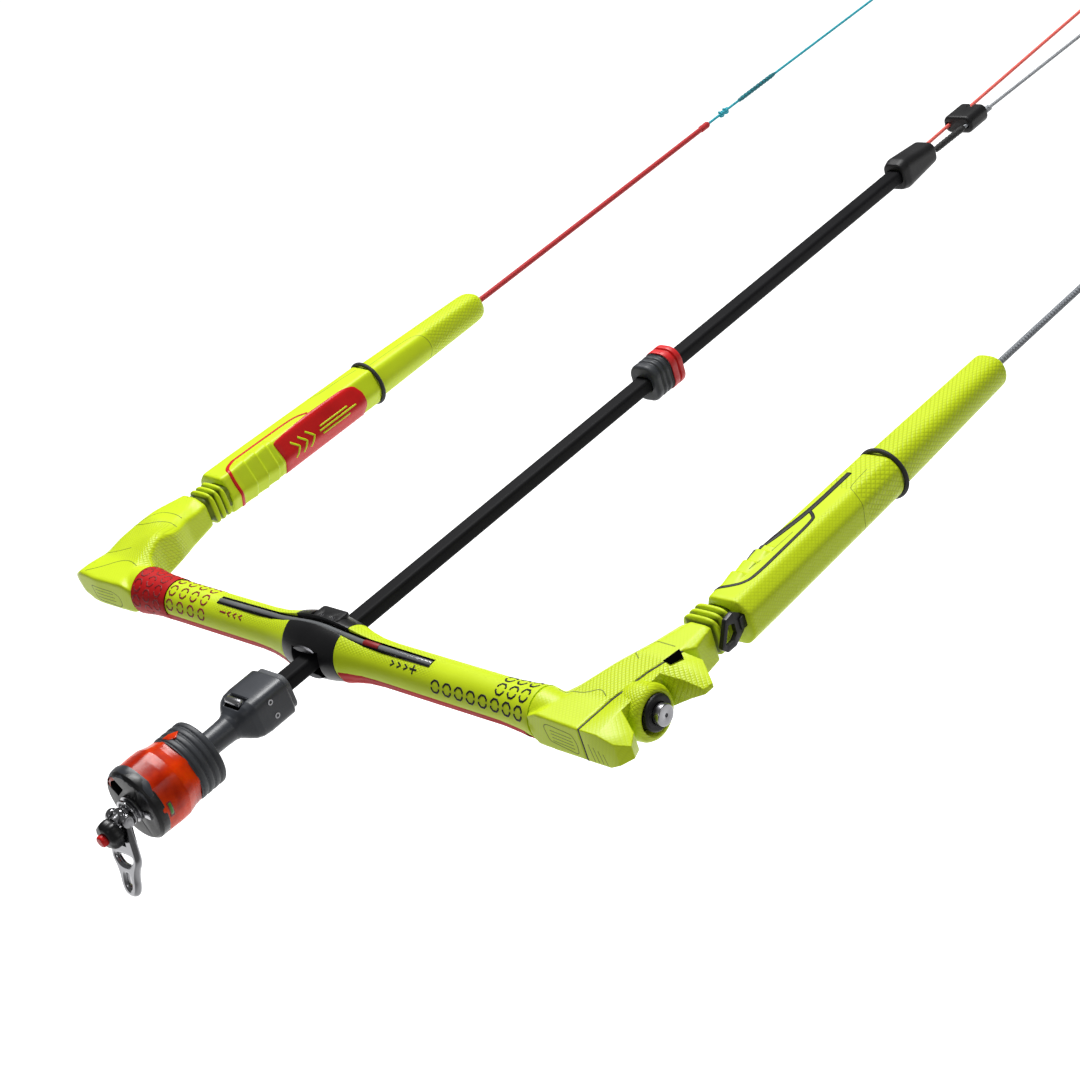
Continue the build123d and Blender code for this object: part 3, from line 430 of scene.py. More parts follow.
# Routes from where each line leaves the object to its far end, in metres.
routes = {
    "leader_left": [(-0.245, 0.402, 0), (-0.2452, 0.424, 0), (-0.2562, 0.739, 0)],
    "pigtail_left": [(-0.2562, 0.739, 0), (-0.2569, 0.764, 0), (-0.2586, 0.846, 0),
                     (-0.2618, 1.045, 0)],
    "leader_right": [(0.245, 0.402, 0), (0.24515, 0.420, 0), (0.2484, 0.545, 0)],
    "front_line_left": [(-0.007, 0.7069, 0), (-0.0072, 0.727, 0), (-0.0088, 0.767, 0),
                        (-0.016, 1.015, 0)],
    "front_line_right": [(0.007, 0.7069, 0), (0.0072, 0.727, 0), (0.0088, 0.767, 0),
                         (0.015, 0.962, 0)],
}


def new_curve(name, runs, cyclic, **settings):
    """NURBS curve data with one spline for each run of points."""
    data = bpy.data.curves.new(name, "CURVE")
    for key, value in settings.items():
        setattr(data, key, value)
    for points in runs:
        spline = data.splines.new("NURBS")
        spline.points.add(len(points) - 1)
        for point, target in zip(spline.points, points):
            point.co = (*target, 1)
        spline.order_u = 3
        spline.use_cyclic_u = cyclic
        spline.use_endpoint_u = not cyclic
    return data


def curve_mesh(data):
    """Mesh of a curve, with its thickness if it has one."""
    holder = new_object("holder", data)
    depsgraph = bpy.context.evaluated_depsgraph_get()
    mesh = bpy.data.meshes.new_from_object(holder.evaluated_get(depsgraph))
    bpy.data.objects.remove(holder)
    return mesh


# diameter in metres, body, material and slot of each line
line_specs = {
    "leader_left": (0.0048, "float_left", "red_line", "red_line"),
    "pigtail_left": (0.0024, "float_left", "cyan_line", "cyan_line"),
    "leader_right": (0.0048, "float_right", "grey_line", "grey_line"),
    "front_line_left": (0.0030, "depower_line", "red_thin", "red_line"),
    "front_line_right": (0.0030, "depower_line", "grey_thin", "grey_line"),
}
lines = {}
for name, (diameter, body, material, slot) in line_specs.items():
    data = new_curve(name + "_line", [routes[name]], False, dimensions="3D",
                     bevel_depth=diameter / 2, bevel_resolution=5, resolution_u=24,
                     use_fill_caps=True)
    data.materials.append(materials[material])
    lines[name] = new_object(name + "_line", data)
    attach(lines[name], body)
    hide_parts(name)


# ==== helpers for new pieces ====

def dress(obj, material, body, replaces=()):
    """Give a new mesh piece its material, smooth faces and body, and hide the nodes it replaces."""
    mesh = obj.data
    mesh.materials.clear()
    mesh.materials.append(materials[material])
    for face in mesh.polygons:
        face.use_smooth = True
    if body:
        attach(obj, body)
    if replaces:
        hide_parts(*replaces)
    return obj


def make_piece(name, verts, faces, material, body, replaces=()):
    """New mesh piece with its faces turned outwards."""
    mesh = bpy.data.meshes.new(name)
    mesh.from_pydata([tuple(v) for v in verts], [], faces)
    bm = bmesh.new()
    bm.from_mesh(mesh)
    bmesh.ops.recalc_face_normals(bm, faces=bm.faces)
    bm.to_mesh(mesh)
    bm.free()
    return dress(new_object(name, mesh), material, body, replaces)


def grid_faces(rows, width, closed=False):
    """Quads between rows of width points; closed joins the last row to the first."""
    return [(r * width + c, r * width + c + 1, (r + 1) % rows * width + c + 1,
             (r + 1) % rows * width + c)
            for r in range(rows if closed else rows - 1) for c in range(width - 1)]


def ring_faces(rows, count, caps=True):
    """Faces between rings of count points each, and the caps of the first and last ring."""
    faces = []
    for r in range(rows - 1):
        for c in range(count):
            d = (c + 1) % count
            faces.append((r * count + c, r * count + d, (r + 1) * count + d, (r + 1) * count + c))
    if caps:
        faces.append(tuple(range(count))[::-1])
        faces.append(tuple(range((rows - 1) * count, rows * count)))
    return faces


def make_loft(name, rows, count, spot, material, body, replaces=(), caps=True):
    """Piece through rings of points; spot gives x, y and z in mm for a row and a turn."""
    verts = [tuple(v * MM for v in spot(row, math.tau * c / count))
             for row in rows for c in range(count)]
    faces = ring_faces(len(rows), count, caps)
    return make_piece(name, verts, faces, material, body, replaces)


def blend_value(pairs, t):
    """Value at t on straight runs between (t, value) pairs."""
    if t <= pairs[0][0]:
        return pairs[0][1]
    for (t0, v0), (t1, v1) in zip(pairs, pairs[1:]):
        if t <= t1:
            return v0 + (v1 - v0) * (t - t0) / (t1 - t0)
    return pairs[-1][1]


def surface(*objects):
    """Search tree over the triangles of some objects, in the shared frame."""
    verts, faces = [], []
    for obj in objects:
        base = len(verts)
        verts += [v.co.copy() for v in obj.data.vertices]
        faces += [tuple(base + i for i in face.vertices) for face in obj.data.polygons]
    return BVHTree.FromPolygons(verts, faces)


def eased(points):
    """Open polyline with its corners cut."""
    out = [points[0]]
    for p, q in zip(points, points[1:]):
        out += [p * 0.75 + q * 0.25, p * 0.25 + q * 0.75]
    return out + [points[-1]]


def spaced(points, step):
    """Points at even steps along a polyline, without its last one."""
    out = []
    for p, q in zip(points, points[1:]):
        n = max(1, int((q - p).length / step))
        out += [p + (q - p) * i / n for i in range(n)]
    return out


# a stroke's section, and a panel's rim: shares of the width or of the rim, and of the lift
STROKE_SECTION = ((-0.5, -0.25), (-0.42, 0.75), (-0.2, 1.0), (0.2, 1.0), (0.42, 0.75),
                  (0.5, -0.25))
PANEL_RIM = ((0.0, -0.8), (0.25, 0.7), (1.0, 1.0))
PANEL_RINGS = 10


class Wrap:
    """Draws strokes and panels on a surface; spot turns two coordinates into a ray.

    One step of the second coordinate is arc mm long on the surface.
    """

    def __init__(self, tree, spot, arc=1.0):
        self.tree = tree
        self.spot = spot
        self.arc = arc

    def hit(self, a, b, lift):
        """Surface point for the two coordinates, lifted back along the ray, or None."""
        origin, direction = self.spot(a, b)
        point, normal = self.tree.ray_cast(origin, direction)[:2]
        if point is None:
            return None
        if normal.dot(direction) > 0:
            normal = -normal
        return point + normal * lift

    def flat(self, points):
        """Points with both coordinates in mm."""
        return [Vector((a, b * self.arc)) for a, b in points]

    def lay(self, p, lift):
        """Surface point for a flat point."""
        return self.hit(p.x, p.y / self.arc, lift)

    def stroke(self, points, width, lift, closed=False, step=1.2, smooth=True):
        """Vertices and faces of a rounded ribbon along points, in the wrap's coordinates."""
        flat = self.flat(points)
        if closed:
            flat.append(flat[0])
        elif len(flat) > 2 and smooth:
            flat = eased(eased(flat))
        dense = spaced(flat, step)
        if not closed:
            dense.append(flat[-1])
        verts = []
        count, width_points = len(dense), len(STROKE_SECTION)
        for i, p in enumerate(dense):
            before = dense[i - 1] if (i or closed) else p
            after = dense[(i + 1) % count] if (i < count - 1 or closed) else p
            run = after - before
            side = Vector((-run.y, run.x)).normalized()
            row = [self.lay(p + side * offset * width, lift * height)
                   for offset, height in STROKE_SECTION]
            verts += [None] * width_points if None in row else row
        faces = grid_faces(count, width_points, closed)
        if not closed:
            faces.append(tuple(range(width_points)))
            faces.append(tuple(range(len(verts) - width_points, len(verts)))[::-1])
        return verts, faces

    def panel(self, outline, lift, edge=0.6, step=2.0):
        """Vertices and faces of a raised panel; its outline is seen whole from its middle."""
        flat = self.flat(outline)
        dense = spaced(flat + flat[:1], step)
        middle = sum(dense, Vector((0, 0))) / len(dense)
        verts = []
        for share, height in PANEL_RIM:
            verts += [self.lay(p + (middle - p).normalized() * edge * share, lift * height)
                      for p in dense]
        for k in range(1, PANEL_RINGS):
            for p in dense:
                start = p + (middle - p).normalized() * edge
                verts.append(self.lay(start + (middle - start) * k / PANEL_RINGS, lift))
        last = len(verts) - len(dense)
        faces = ring_faces(len(verts) // len(dense), len(dense), caps=False)
        faces += [(last + c, last + (c + 1) % len(dense), len(verts)) for c in range(len(dense))]
        verts.append(self.lay(middle, lift))
        return verts, faces


def strip(wrap, places, lift, across=14):
    """Raised strip along a surface; places hold a position and the strip's two edges there."""
    rows = []
    for p, q in zip(places, places[1:]):
        n = max(1, int(abs(q[0] - p[0]) / 2.0))
        rows += [Vector(p).lerp(Vector(q), i / n) for i in range(n)]
    rows.append(places[-1])
    verts = []
    for a, low, high in rows:
        for c in range(across + 1):
            share = c / across
            height = min(1.0, min(share, 1 - share) * across) * 1.25 - 0.25
            verts.append(wrap.hit(a, low + (high - low) * share, lift * height))
    return verts, grid_faces(len(rows), across + 1)


def join_parts(parts):
    """One vertex and face list out of several."""
    verts, faces = [], []
    for v, f in parts:
        base = len(verts)
        verts += v
        faces += [tuple(base + i for i in face) for face in f]
    return verts, faces


def drawn(name, parts, material, body):
    """Piece made of strokes and panels, without the faces that miss the surface."""
    verts, faces = join_parts(parts)
    faces = [face for face in faces if all(verts[i] is not None for i in face)]
    used = sorted({i for face in faces for i in face})
    renumber = {old: new for new, old in enumerate(used)}
    faces = [tuple(renumber[i] for i in face) for face in faces]
    return make_piece(name, [verts[i] for i in used], faces, material, body)


def rounded(points, radius, steps=5):
    """Closed outline with each corner replaced by a short curve."""
    out = []
    count = len(points)
    for i in range(count):
        p, q, r = (Vector(points[(i + k) % count]) for k in (-1, 0, 1))
        a = q + (p - q).normalized() * min(radius, (p - q).length / 2)
        b = q + (r - q).normalized() * min(radius, (r - q).length / 2)
        for k in range(steps + 1):
            t = k / steps
            out.append(tuple(a * (1 - t) ** 2 + q * 2 * t * (1 - t) + b * t * t))
    return out


# ==== floats ====

FLOAT_R = 17.5
FLOAT_START, FLOAT_END = 110.0, 404.0
# radius along the float, as a share of its largest one
FLOAT_PROFILE = {
    -1: [(110, 0.93), (111, 0.985), (113, 1.0), (140, 1.0), (271, 0.95), (272.4, 0.885),
         (275.6, 0.885), (277.5, 0.87), (392, 0.76), (397, 0.735), (400, 0.69), (402.3, 0.62),
         (403.6, 0.5), (404, 0.36)],
    1: [(110, 0.95), (111, 0.99), (113, 1.0), (140, 1.0), (271, 0.95), (272.4, 0.885),
        (275.6, 0.885), (277.5, 0.87), (401, 0.76), (402.8, 0.745), (403.7, 0.71), (404, 0.66)],
}
# facets of the section: direction from the outboard side up over the top, and distance
FLOAT_FACETS = [(0, 0.99), (45, 1.05), (92, 0.93), (160, 0.975), (208, 0.99), (270, 0.86), (318, 1.0)]


def float_radius(side, y, turn):
    """Radius in mm of a float at y, in a direction counted from the outboard side."""
    size = FLOAT_R * blend_value(FLOAT_PROFILE[side], y)
    sharp = blend_value([(110, 20), (268, 16), (278, 9), (404, 6)], y)
    total = 0.0
    for direction, distance in FLOAT_FACETS:
        lean = math.cos(math.radians(turn - direction))
        if lean > 0:
            total += (lean / distance) ** sharp
    radius = size * total ** (-1 / sharp)
    return radius + float_steps(side, y, turn)


def float_steps(side, y, turn):
    """Height in mm of the row of low overlapping scales near the float's start."""
    if side < 0:
        start, pitch, low, high = 123.5, 11.5, 108, 232
    else:
        start, pitch, low, high = 124.0, 12.0, 96, 190
    if not start < y < start + 3.4 * pitch or not low < turn < high:
        return 0.0
    share = ((y - start) % pitch) / pitch
    edge = min(1.0, (turn - low) / 8, (high - turn) / 8)
    height = 1.8 * share if share < 0.9 else 1.8 * (1 - share) / 0.1
    return height * edge


def make_float(side, label):
    """Foam float: faceted body with a scale row, seat of the bungee and a slimmer tip."""
    rows = []
    y = FLOAT_START
    while y < FLOAT_END:
        rows.append(y)
        y += 0.8 if (120 < y < 166 or 269 < y < 279 or y > 391 or y < 114) else 2.2
    rows.append(FLOAT_END)

    def spot(y, turn):
        radius = float_radius(side, y, math.degrees(turn))
        return side * (FLOAT_X / MM + radius * math.cos(turn)), y, radius * math.sin(turn)

    return make_loft(f"float_skin_{label}", rows, 120, spot, f"lime_foam_{label}",
                     f"float_{label}", (f"float_{label}",))


floats = {side: make_float(side, label) for side, label in ((-1, "left"), (1, "right"))}


def around_y(axis_x):
    """Rays towards an axis along Y: coordinates are y in mm and the angle from +X, degrees."""
    def spot(y, turn):
        out = Vector((math.cos(math.radians(turn)), 0, math.sin(math.radians(turn))))
        origin = Vector((axis_x, y * MM, 0)) + out * 0.05
        return origin, -out
    return spot


# mm on the skin for each degree around the float
FLOAT_ARC = 0.3
on_left = Wrap(surface(floats[-1]), around_y(-FLOAT_X), FLOAT_ARC)
on_right = Wrap(surface(floats[1]), around_y(FLOAT_X), FLOAT_ARC)

red_line_path = [(121.5, -70), (119.5, -20), (118.5, 20), (119.5, 55), (123, 72), (132, 84),
                 (160, 84), (192, 82), (199, 74), (205, 60)]
red_outline = on_left.stroke(red_line_path[:6], 3.0, 0.0005)
red_edge = on_left.stroke(red_line_path[5:], 2.2, 0.0005)
drawn("float_stripe_left", [red_outline, red_edge], "red_plastic", "float_left")
red_field = rounded([(163, 49), (165, -10), (166, -66), (250, -66), (255, -26), (255, 20),
                     (251, 46), (240, 56), (204, 58)], 6)
drawn("float_panel_left", [on_left.panel(red_field, 0.0006, step=0.9)], "red_plastic",
      "float_left")
chevrons = []
for start in (176, 184, 192):
    chevrons.append(on_left.stroke([(start, 26), (start + 6, 4), (start, -18)], 1.9, 0.00095, smooth=False))
bars = [[(204, 4), (244, 4)], [(206, 14), (236, 14)], [(206, -6), (236, -6)]]
chevrons += [on_left.stroke(bar, 1.5, 0.00095) for bar in bars]
drawn("float_mark_left", chevrons, "lime_grip", "float_left")
seams_left = [
    [(270.5, 76), (300, 76), (322, 73), (330, 60), (334.5, 35), (335.5, 4), (334, -27), (330, -70)],
    [(222, 112), (232, 103), (246, 102), (262, 96), (268, 92)],
    [(222, 250), (236, 236), (268, 236)],
]
drawn("float_seams_left", [on_left.stroke(p, 0.45, 0.00008) for p in seams_left],
      "lime_seam", "float_left")

black_a = [(249, 109), (207, 108), (180, 118), (163, 128), (150, 134)]
black_b = [(112, 148), (118.5, 128), (123, 104), (127, 86), (134, 75), (165, 76), (197, 78),
           (201, 88), (205, 107)]
drawn("float_outline_right", [on_right.stroke(black_a, 4.0, 0.0005),
                              on_right.stroke(black_b, 2.6, 0.0004)],
      "black_rubber", "float_right")
seams_right = [
    [(256, 78), (236, 74), (232.5, 66), (230, 35), (227.5, 0), (227, -23), (232, -60)],
    [(161, 97), (182, 95)],
    [(140, 102), (150, 99)],
]
drawn("float_seams_right", [on_right.stroke(p, 0.45, 0.00008) for p in seams_right],
      "lime_seam", "float_right")


# ==== bellows between the bar ends and the floats ====

def make_bellows(side, label):
    """Three broad ribs on a slimmer neck."""
    rows = [(87.6, 9.5), (90.6, 9.5)]
    for k in range(3):
        start = 91.6 + 5.4 * k
        rows += [(start, 9.6), (start + 0.3, 12.6), (start + 0.9, 13.3), (start + 2.3, 13.3),
                 (start + 2.9, 12.6), (start + 3.3, 9.8)]
    rows += [(107.6, 9.6), (110.6, 9.6)]

    def spot(row, turn):
        y, size = row
        # rounded square section
        flat = size * (abs(math.cos(turn)) ** 3.6 + abs(math.sin(turn)) ** 3.6) ** (-1 / 3.6)
        return (side * BELLOWS_X / MM + 1.04 * flat * math.cos(turn), y,
                BELLOWS_Z / MM + 0.98 * flat * math.sin(turn))

    obj = make_loft(f"bellows_skin_{label}", rows, 64, spot, "lime_rubber", None,
                    (f"bellows_{label}",))
    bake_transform(obj)


make_bellows(-1, "left")
make_bellows(1, "right")


# ==== bar ends ====

def merged_shell(name, parts, smooth_steps, material, body, shape=None, voxel=0.0009):
    """One skin over some CAD shells, with softened edges; shape gives each point's move in mm."""
    bm = bmesh.new()
    for part in parts:
        bm.from_mesh(nodes[part].data)
    bmesh.ops.remove_doubles(bm, verts=bm.verts, dist=0.00001)
    mesh = bpy.data.meshes.new(name)
    bm.to_mesh(mesh)
    bm.free()
    obj = new_object(name, mesh)
    remesh = obj.modifiers.new("remesh", "REMESH")
    remesh.mode = "VOXEL"
    remesh.voxel_size = voxel
    relax = obj.modifiers.new("relax", "SMOOTH")
    relax.factor = 0.5
    relax.iterations = smooth_steps
    depsgraph = bpy.context.evaluated_depsgraph_get()
    shaped = bpy.data.meshes.new_from_object(obj.evaluated_get(depsgraph))
    obj.modifiers.clear()
    obj.data = shaped
    if shape:
        for vert in shaped.vertices:
            vert.co += shape(vert.co / MM) * MM
    return dress(obj, material, body, parts)


def hill(x, y, cx, cy, sx, sy):
    """Soft round bump, 1 at its middle."""
    return math.exp(-((x - cx) / sx) ** 2 - ((y - cy) / sy) ** 2)


def left_shape(p):
    """The left end's crown: a dome over the elbow and a hollow towards the nose."""
    up = Vector((0, 0, 0))
    if p.z > 2:
        rise = 6.6 * hill(p.x, p.y, -213, 34, 19, 17) + 2.4 * hill(p.x, p.y, -242, 50, 12, 12)
        rise -= 2.8 * hill(p.x, p.y, -258, 14, 15, 12) + 1.0 * hill(p.x, p.y, -232, 78, 14, 8)
        up.z = rise * min(1.0, (p.z - 2) / 6)
    return up


def right_shape(p):
    """The right end keeps its facets; its top is a little crowned."""
    up = Vector((0, 0, 0))
    if p.z > 4:
        up.z = 1.2 * hill(p.x, p.y, 222, 34, 16, 22) * min(1.0, (p.z - 4) / 5)
    return up


left_end = merged_shell("end_skin_left", ("shell_left_upper", "shell_left_lower"), 36,
                        "lime_shell", "bar", left_shape)
right_end = merged_shell("end_skin_right", ("shell_right_upper", "shell_right_lower"), 5,
                         "lime_shell", "bar", right_shape)


def from_above(x, y):
    """Rays straight down; coordinates are x and y in mm."""
    return Vector((x * MM, y * MM, 0.06)), Vector((0, 0, -1))


def from_front(x, z):
    """Rays along +Y; coordinates are x and z in mm."""
    return Vector((x * MM, -0.06, z * MM)), Vector((0, 1, 0))


left_top = Wrap(surface(left_end), from_above)
left_front = Wrap(surface(left_end), from_front)
right_top = Wrap(surface(right_end, nodes["winch_cover"]), from_above)
right_front = Wrap(surface(right_end, nodes["winch_cover"]), from_front)

left_lines = [
    [(-259, 43), (-250, 44.5), (-243, 45.5), (-237, 50), (-231, 53.5), (-221, 54.5), (-212, 53)],
    [(-256, 47), (-250, 62), (-238, 64.5), (-226, 64)],
    [(-254, 12), (-245, 14), (-231, 20)],
    [(-247, -12), (-238, -5), (-228, 6), (-218, 8.5), (-208, 6)],
]
left_panel = rounded([(-240, 5.5), (-214, 4.5), (-208, 1), (-208.5, -6), (-212, -8), (-238, -6)], 3)
left_slits = [[(-236, z), (-215, z - 0.5)] for z in (2.5, -0.5, -3.5)]
parts = [left_top.stroke(p, 0.7, 0.0001) for p in left_lines]
parts.append(left_front.stroke(left_panel, 0.6, 0.00008, closed=True))
parts += [left_front.stroke(p, 0.5, 0.00006) for p in left_slits]
drawn("end_seams_left", parts, "lime_seam", "bar")

right_lines = [
    [(199, 9), (218, 9), (226, 17), (233, 12.5)],
    [(229.5, 47), (220, 54), (223.5, 65), (243, 64.5)],
]
right_panel = rounded([(206, 6), (209, 8.5), (229, 7), (231.5, 1), (230.5, -7), (208, -4)], 2.5)
right_slits = [[(211, z), (228, z - 0.8)] for z in (4.5, 2, -0.5, -3)]
marks = [[(241 + 3.2 * k, 4 - 1.5 * k), (242.5 + 3.2 * k, -8)] for k in range(4)]
parts = [right_top.stroke(p, 0.7, 0.0001) for p in right_lines]
parts.append(right_front.stroke(right_panel, 0.6, 0.00008, closed=True))
parts += [right_front.stroke(p, 0.5, 0.00006) for p in right_slits + marks]
drawn("end_seams_right", parts, "lime_seam", "bar")

# The end skin has a real opening under this dark slot, a near-black sheet of painted shade; where a ray
# meets nothing, the slot takes the mean level of the rest.
near = Vector((244.9, 50.6)), Vector((247.5, 63.0))
far = Vector((250.9, 49.7)), Vector((254.0, 58.3))
spots = [near[0].lerp(near[1], i / 12).lerp(far[0].lerp(far[1], i / 12), j / 5)
         for i in range(13) for j in range(6)]
hits = [right_top.hit(spot.x, spot.y, 0.0) for spot in spots]
seen = [p.z for p in hits if p is not None]
level = sum(seen) / len(seen)
verts = [Vector((spot.x * MM, spot.y * MM, (level if p is None else p.z) + 0.0006))
         for spot, p in zip(spots, hits)]
drawn("winch_window", [(verts, grid_faces(13, 6))], "slot_black", "bar")


# ==== grips ====

def around_x(x, turn):
    """Rays towards the bar's axis: x in mm, and the angle from +Y over the top, degrees."""
    out = Vector((0, math.cos(math.radians(turn)), math.sin(math.radians(turn))))
    return Vector((x * MM, 0, 0)) + out * 0.05, -out


grip_names = ("grip_left", "grip_right", "grip_band_left", "under_strips")
# a degree around the grip is 0.237 mm long
on_grip = Wrap(surface(*(nodes[n] for n in grip_names)), around_x, 0.237)


def hexagon(x, turn):
    """Two halves of a hexagonal outline, open at its sides, in the grip's coordinates."""
    # half its width in mm, and half its height in degrees
    w, t = 3.1, 15.5
    upper = [(x - w, turn - t * 0.22), (x - w, turn - t * 0.5), (x - w * 0.45, turn - t),
             (x + w * 0.45, turn - t), (x + w, turn - t * 0.5), (x + w, turn - t * 0.22)]
    return upper, [(a, 2 * turn - b) for a, b in upper]


def hexagons(name, spots, material, width=1.3, lift=0.0003):
    """Raised outlines of hexagons on the grip."""
    parts = [on_grip.stroke(half, width, lift, step=0.8, smooth=False)
             for x, turn in spots for half in hexagon(x, turn)]
    drawn(name, parts, material, "bar")


rows_all_round = (157, 112, 67, 22)
left_spots = [(-151.5 + 11.7 * c, turn) for c in range(4) for turn in rows_all_round]
hexagons("grip_hexagons_left", left_spots, "red_dark")
low_row = [(113 + 10.1 * c, 154) for c in range(8)]
upper_rows = [(164.5 + 10.2 * c, turn) for c in range(3) for turn in (110, 67, 22)]
hexagons("grip_hexagons_right", low_row + upper_rows, "black_rubber")
band_spots = [(-187 + 10.5 * c, turn + 22 * (c % 2)) for c in range(3)
              for turn in (170, 128, 86, 44)]
hexagons("band_hexagons", band_spots, "red_dark", width=1.1, lift=0.00025)

red_left = [(-166, 190, 262), (-100, 192, 262), (-50, 193, 262), (-24, 190, 262), (-15, 186, 262)]
red_right = [(16, 180, 262), (30, 186, 262), (60, 192, 262), (150, 195, 262), (186, 198, 262)]
drawn("red_strip_skins", [strip(on_grip, red_left, 0.0004), strip(on_grip, red_right, 0.0004)],
      "red_grip", "bar")


def arrows(x, tip, turn):
    """Three small arrow heads in a row beside the trim slot."""
    return [on_grip.stroke([(x + 6 * k, turn - 7), (x + tip + 6 * k, turn), (x + 6 * k, turn + 7)],
                           1.2, 0.0002, smooth=False) for k in range(3)]


minus = [on_grip.stroke([(-97, 131), (-91, 131)], 1.3, 0.0002)]
drawn("trim_mark_left", minus + arrows(-86, -3, 131), "red_dark", "bar")
plus = [on_grip.stroke(p, 1.3, 0.0002) for p in ([(89, 128), (95, 128)], [(92, 116), (92, 140)])]
drawn("trim_mark_right", plus + arrows(72, 3, 128), "black_rubber", "bar")


# ==== winch drum ====

def make_turned(name, profile, axis_y, axis_z, material, replaces=(), body="bar"):
    """Body of revolution about a line along X; profile is x and radius in mm."""
    def spot(row, turn):
        x, radius = row
        return x, axis_y + radius * math.cos(turn), axis_z + radius * math.sin(turn)

    return make_loft(name, profile, 72, spot, material, body, replaces)


drum = [(236, 14.6), (243, 16.9), (249, 17.6), (253, 17.2), (255.6, 15.8), (256.6, 13.8),
        (256.2, 12.6), (250, 12.4)]
make_turned("winch_collar", drum, 24, -1.6, "lime_shell")


# ==== swivel housing and quick release ====

# place along the housing, half its width and height, and how square its section is
HOUSING = [(-49.6, 16.0, 13.0, 5), (-50.6, 17.0, 14.0, 5), (-70, 17.0, 14.0, 5),
           (-76, 16.7, 13.7, 4.5), (-80, 15.4, 12.7, 4), (-83, 13.0, 11.2, 3.4),
           (-85, 11.0, 10.0, 2.8), (-87, 9.4, 9.1, 2.3), (-90, 8.6, 8.6, 2),
           (-96, 8.2, 8.2, 2), (-110, 7.95, 7.95, 2)]
# the roller's recess in mm: half its width, its ends, its bottom and its soft edge
RECESS_X, RECESS_NEAR, RECESS_FAR, RECESS_Z, RECESS_EDGE = 8.2, -73.2, -83.2, 10.6, 0.8


def housing_spot(y, turn):
    """Point of a section with broad round edges, cut flat in the roller's recess."""
    width, height, power = (blend_value([(-r[0], r[k]) for r in HOUSING], -y) for k in (1, 2, 3))
    size = (abs(math.cos(turn) / width) ** power
            + abs(math.sin(turn) / height) ** power) ** (-1 / power)
    x, z = size * math.cos(turn), size * math.sin(turn)
    inside = min(RECESS_X - abs(x), y - RECESS_FAR, RECESS_NEAR - y) / RECESS_EDGE
    if z > 0 and inside > 0:
        z = min(z, z + (RECESS_Z - z) * min(1.0, inside))
    return x, y, z


rows = [-49.6 - 0.4 * k for k in range(151)] + [-110]
housing = make_loft("housing_skin", rows, 160, housing_spot, "dark_plastic", "depower_line",
                    ("swivel_housing",))
merged_shell("cap_skin", ("end_cap",), 14, "black_rubber", "depower_line",
             voxel=0.0008)
on_housing = Wrap(surface(housing), from_above)
# near-black panel of painted shade in the roller's recess
recess = rounded([(-7.6, -73.9), (7.6, -73.9), (7.6, -82.4), (-7.6, -82.4)], 1.5)
drawn("roller_recess", [on_housing.panel(recess, 0.00012, step=0.8)], "slot_black",
      "depower_line")

roller = [(-7, 0.5), (-7, 2.3), (-6.3, 2.7), (6.3, 2.7), (7, 2.3), (7, 0.5)]
make_turned("roller_skin", roller, -78.2, 12.5, "cap_steel", ("line_roller",),
            "depower_line")

# radius of the cover along it, and the facets of its section
COVER = [(-168.0, 20.0), (-167.6, 22.0), (-166.6, 23.0), (-163, 23.9), (-150, 24.4), (-144, 24.2),
         (-138, 22.6), (-135, 22.1), (-132.6, 21.9)]
COVER_FACETS = [(math.radians(20 + 45 * k), 0.965 if k % 2 else 1.0) for k in range(8)]


def cover_spot(y, turn):
    """Point of the cover's faceted section, which has a waist beside the ribbed grip."""
    total = sum((math.cos(turn - a) / d) ** 26 for a, d in COVER_FACETS if math.cos(turn - a) > 0)
    size = blend_value(COVER, y) * (0.35 + 0.65 * total ** (-1 / 26))
    return size * math.cos(turn), y, size * math.sin(turn)


rows = [-168.0 + 0.4 * k for k in range(89)] + [-132.6]
cover = make_loft("cover_skin", rows, 144, cover_spot, "orange_cover", "release_sleeve",
                  ("sleeve_cover",), caps=False)
# mm on the cover for each degree around it
COVER_ARC = 0.41
on_cover = Wrap(surface(cover), around_y(0.0), COVER_ARC)
flap = [(-167.6, 22, 138), (-162.6, 28, 136), (-160.4, 42, 128), (-159.8, 46, 122)]
drawn("cover_flap", [strip(on_cover, flap, 0.0008, across=40)], "dark_plastic", "quick_release")
slot_outline = rounded([(-159.6, 10), (-156.2, 9), (-156.2, -19), (-159.6, -18)], 1.0)
drawn("indicator_slot", [on_cover.panel(slot_outline, 0.00015, edge=0.3, step=0.8)],
      "red_dark", "release_sleeve")
drawn("indicator_mark", [on_cover.stroke([(-157.9, 7), (-157.9, -13)], 2.2, 0.0003)],
      "indicator_green", "release_sleeve")
# plain ring around the ribs, for the patch that is seen between them
ring = [(0.0229 * math.cos(math.radians(5 * c)), y, 0.0229 * math.sin(math.radians(5 * c)))
        for y in (-0.112, -0.136) for c in range(72)]
on_ribs = Wrap(BVHTree.FromPolygons(ring, ring_faces(2, 72, caps=False)), around_y(0.0), COVER_ARC)
window = [(-121.5, 87), (-126, 78), (-130, 84), (-131, 98), (-126.5, 97)]
drawn("rib_window", [on_ribs.panel(window, 0.0003, edge=0.3, step=0.8)],
      "orange_cover", "release_sleeve")


# ==== shackle and its knob ====

PIN_Y = -0.1786
lean, twist = math.radians(18.0), math.radians(-4.2)
shackle_frame = (Matrix.Rotation(twist, 4, "Y") @ Matrix.Translation((0, PIN_Y, 0))
                 @ Matrix.Rotation(math.pi / 2 - lean, 4, "X"))


def half_outline(points):
    """Closed outline from the points of its right half."""
    return points + [(-x, y) for x, y in points[::-1]]


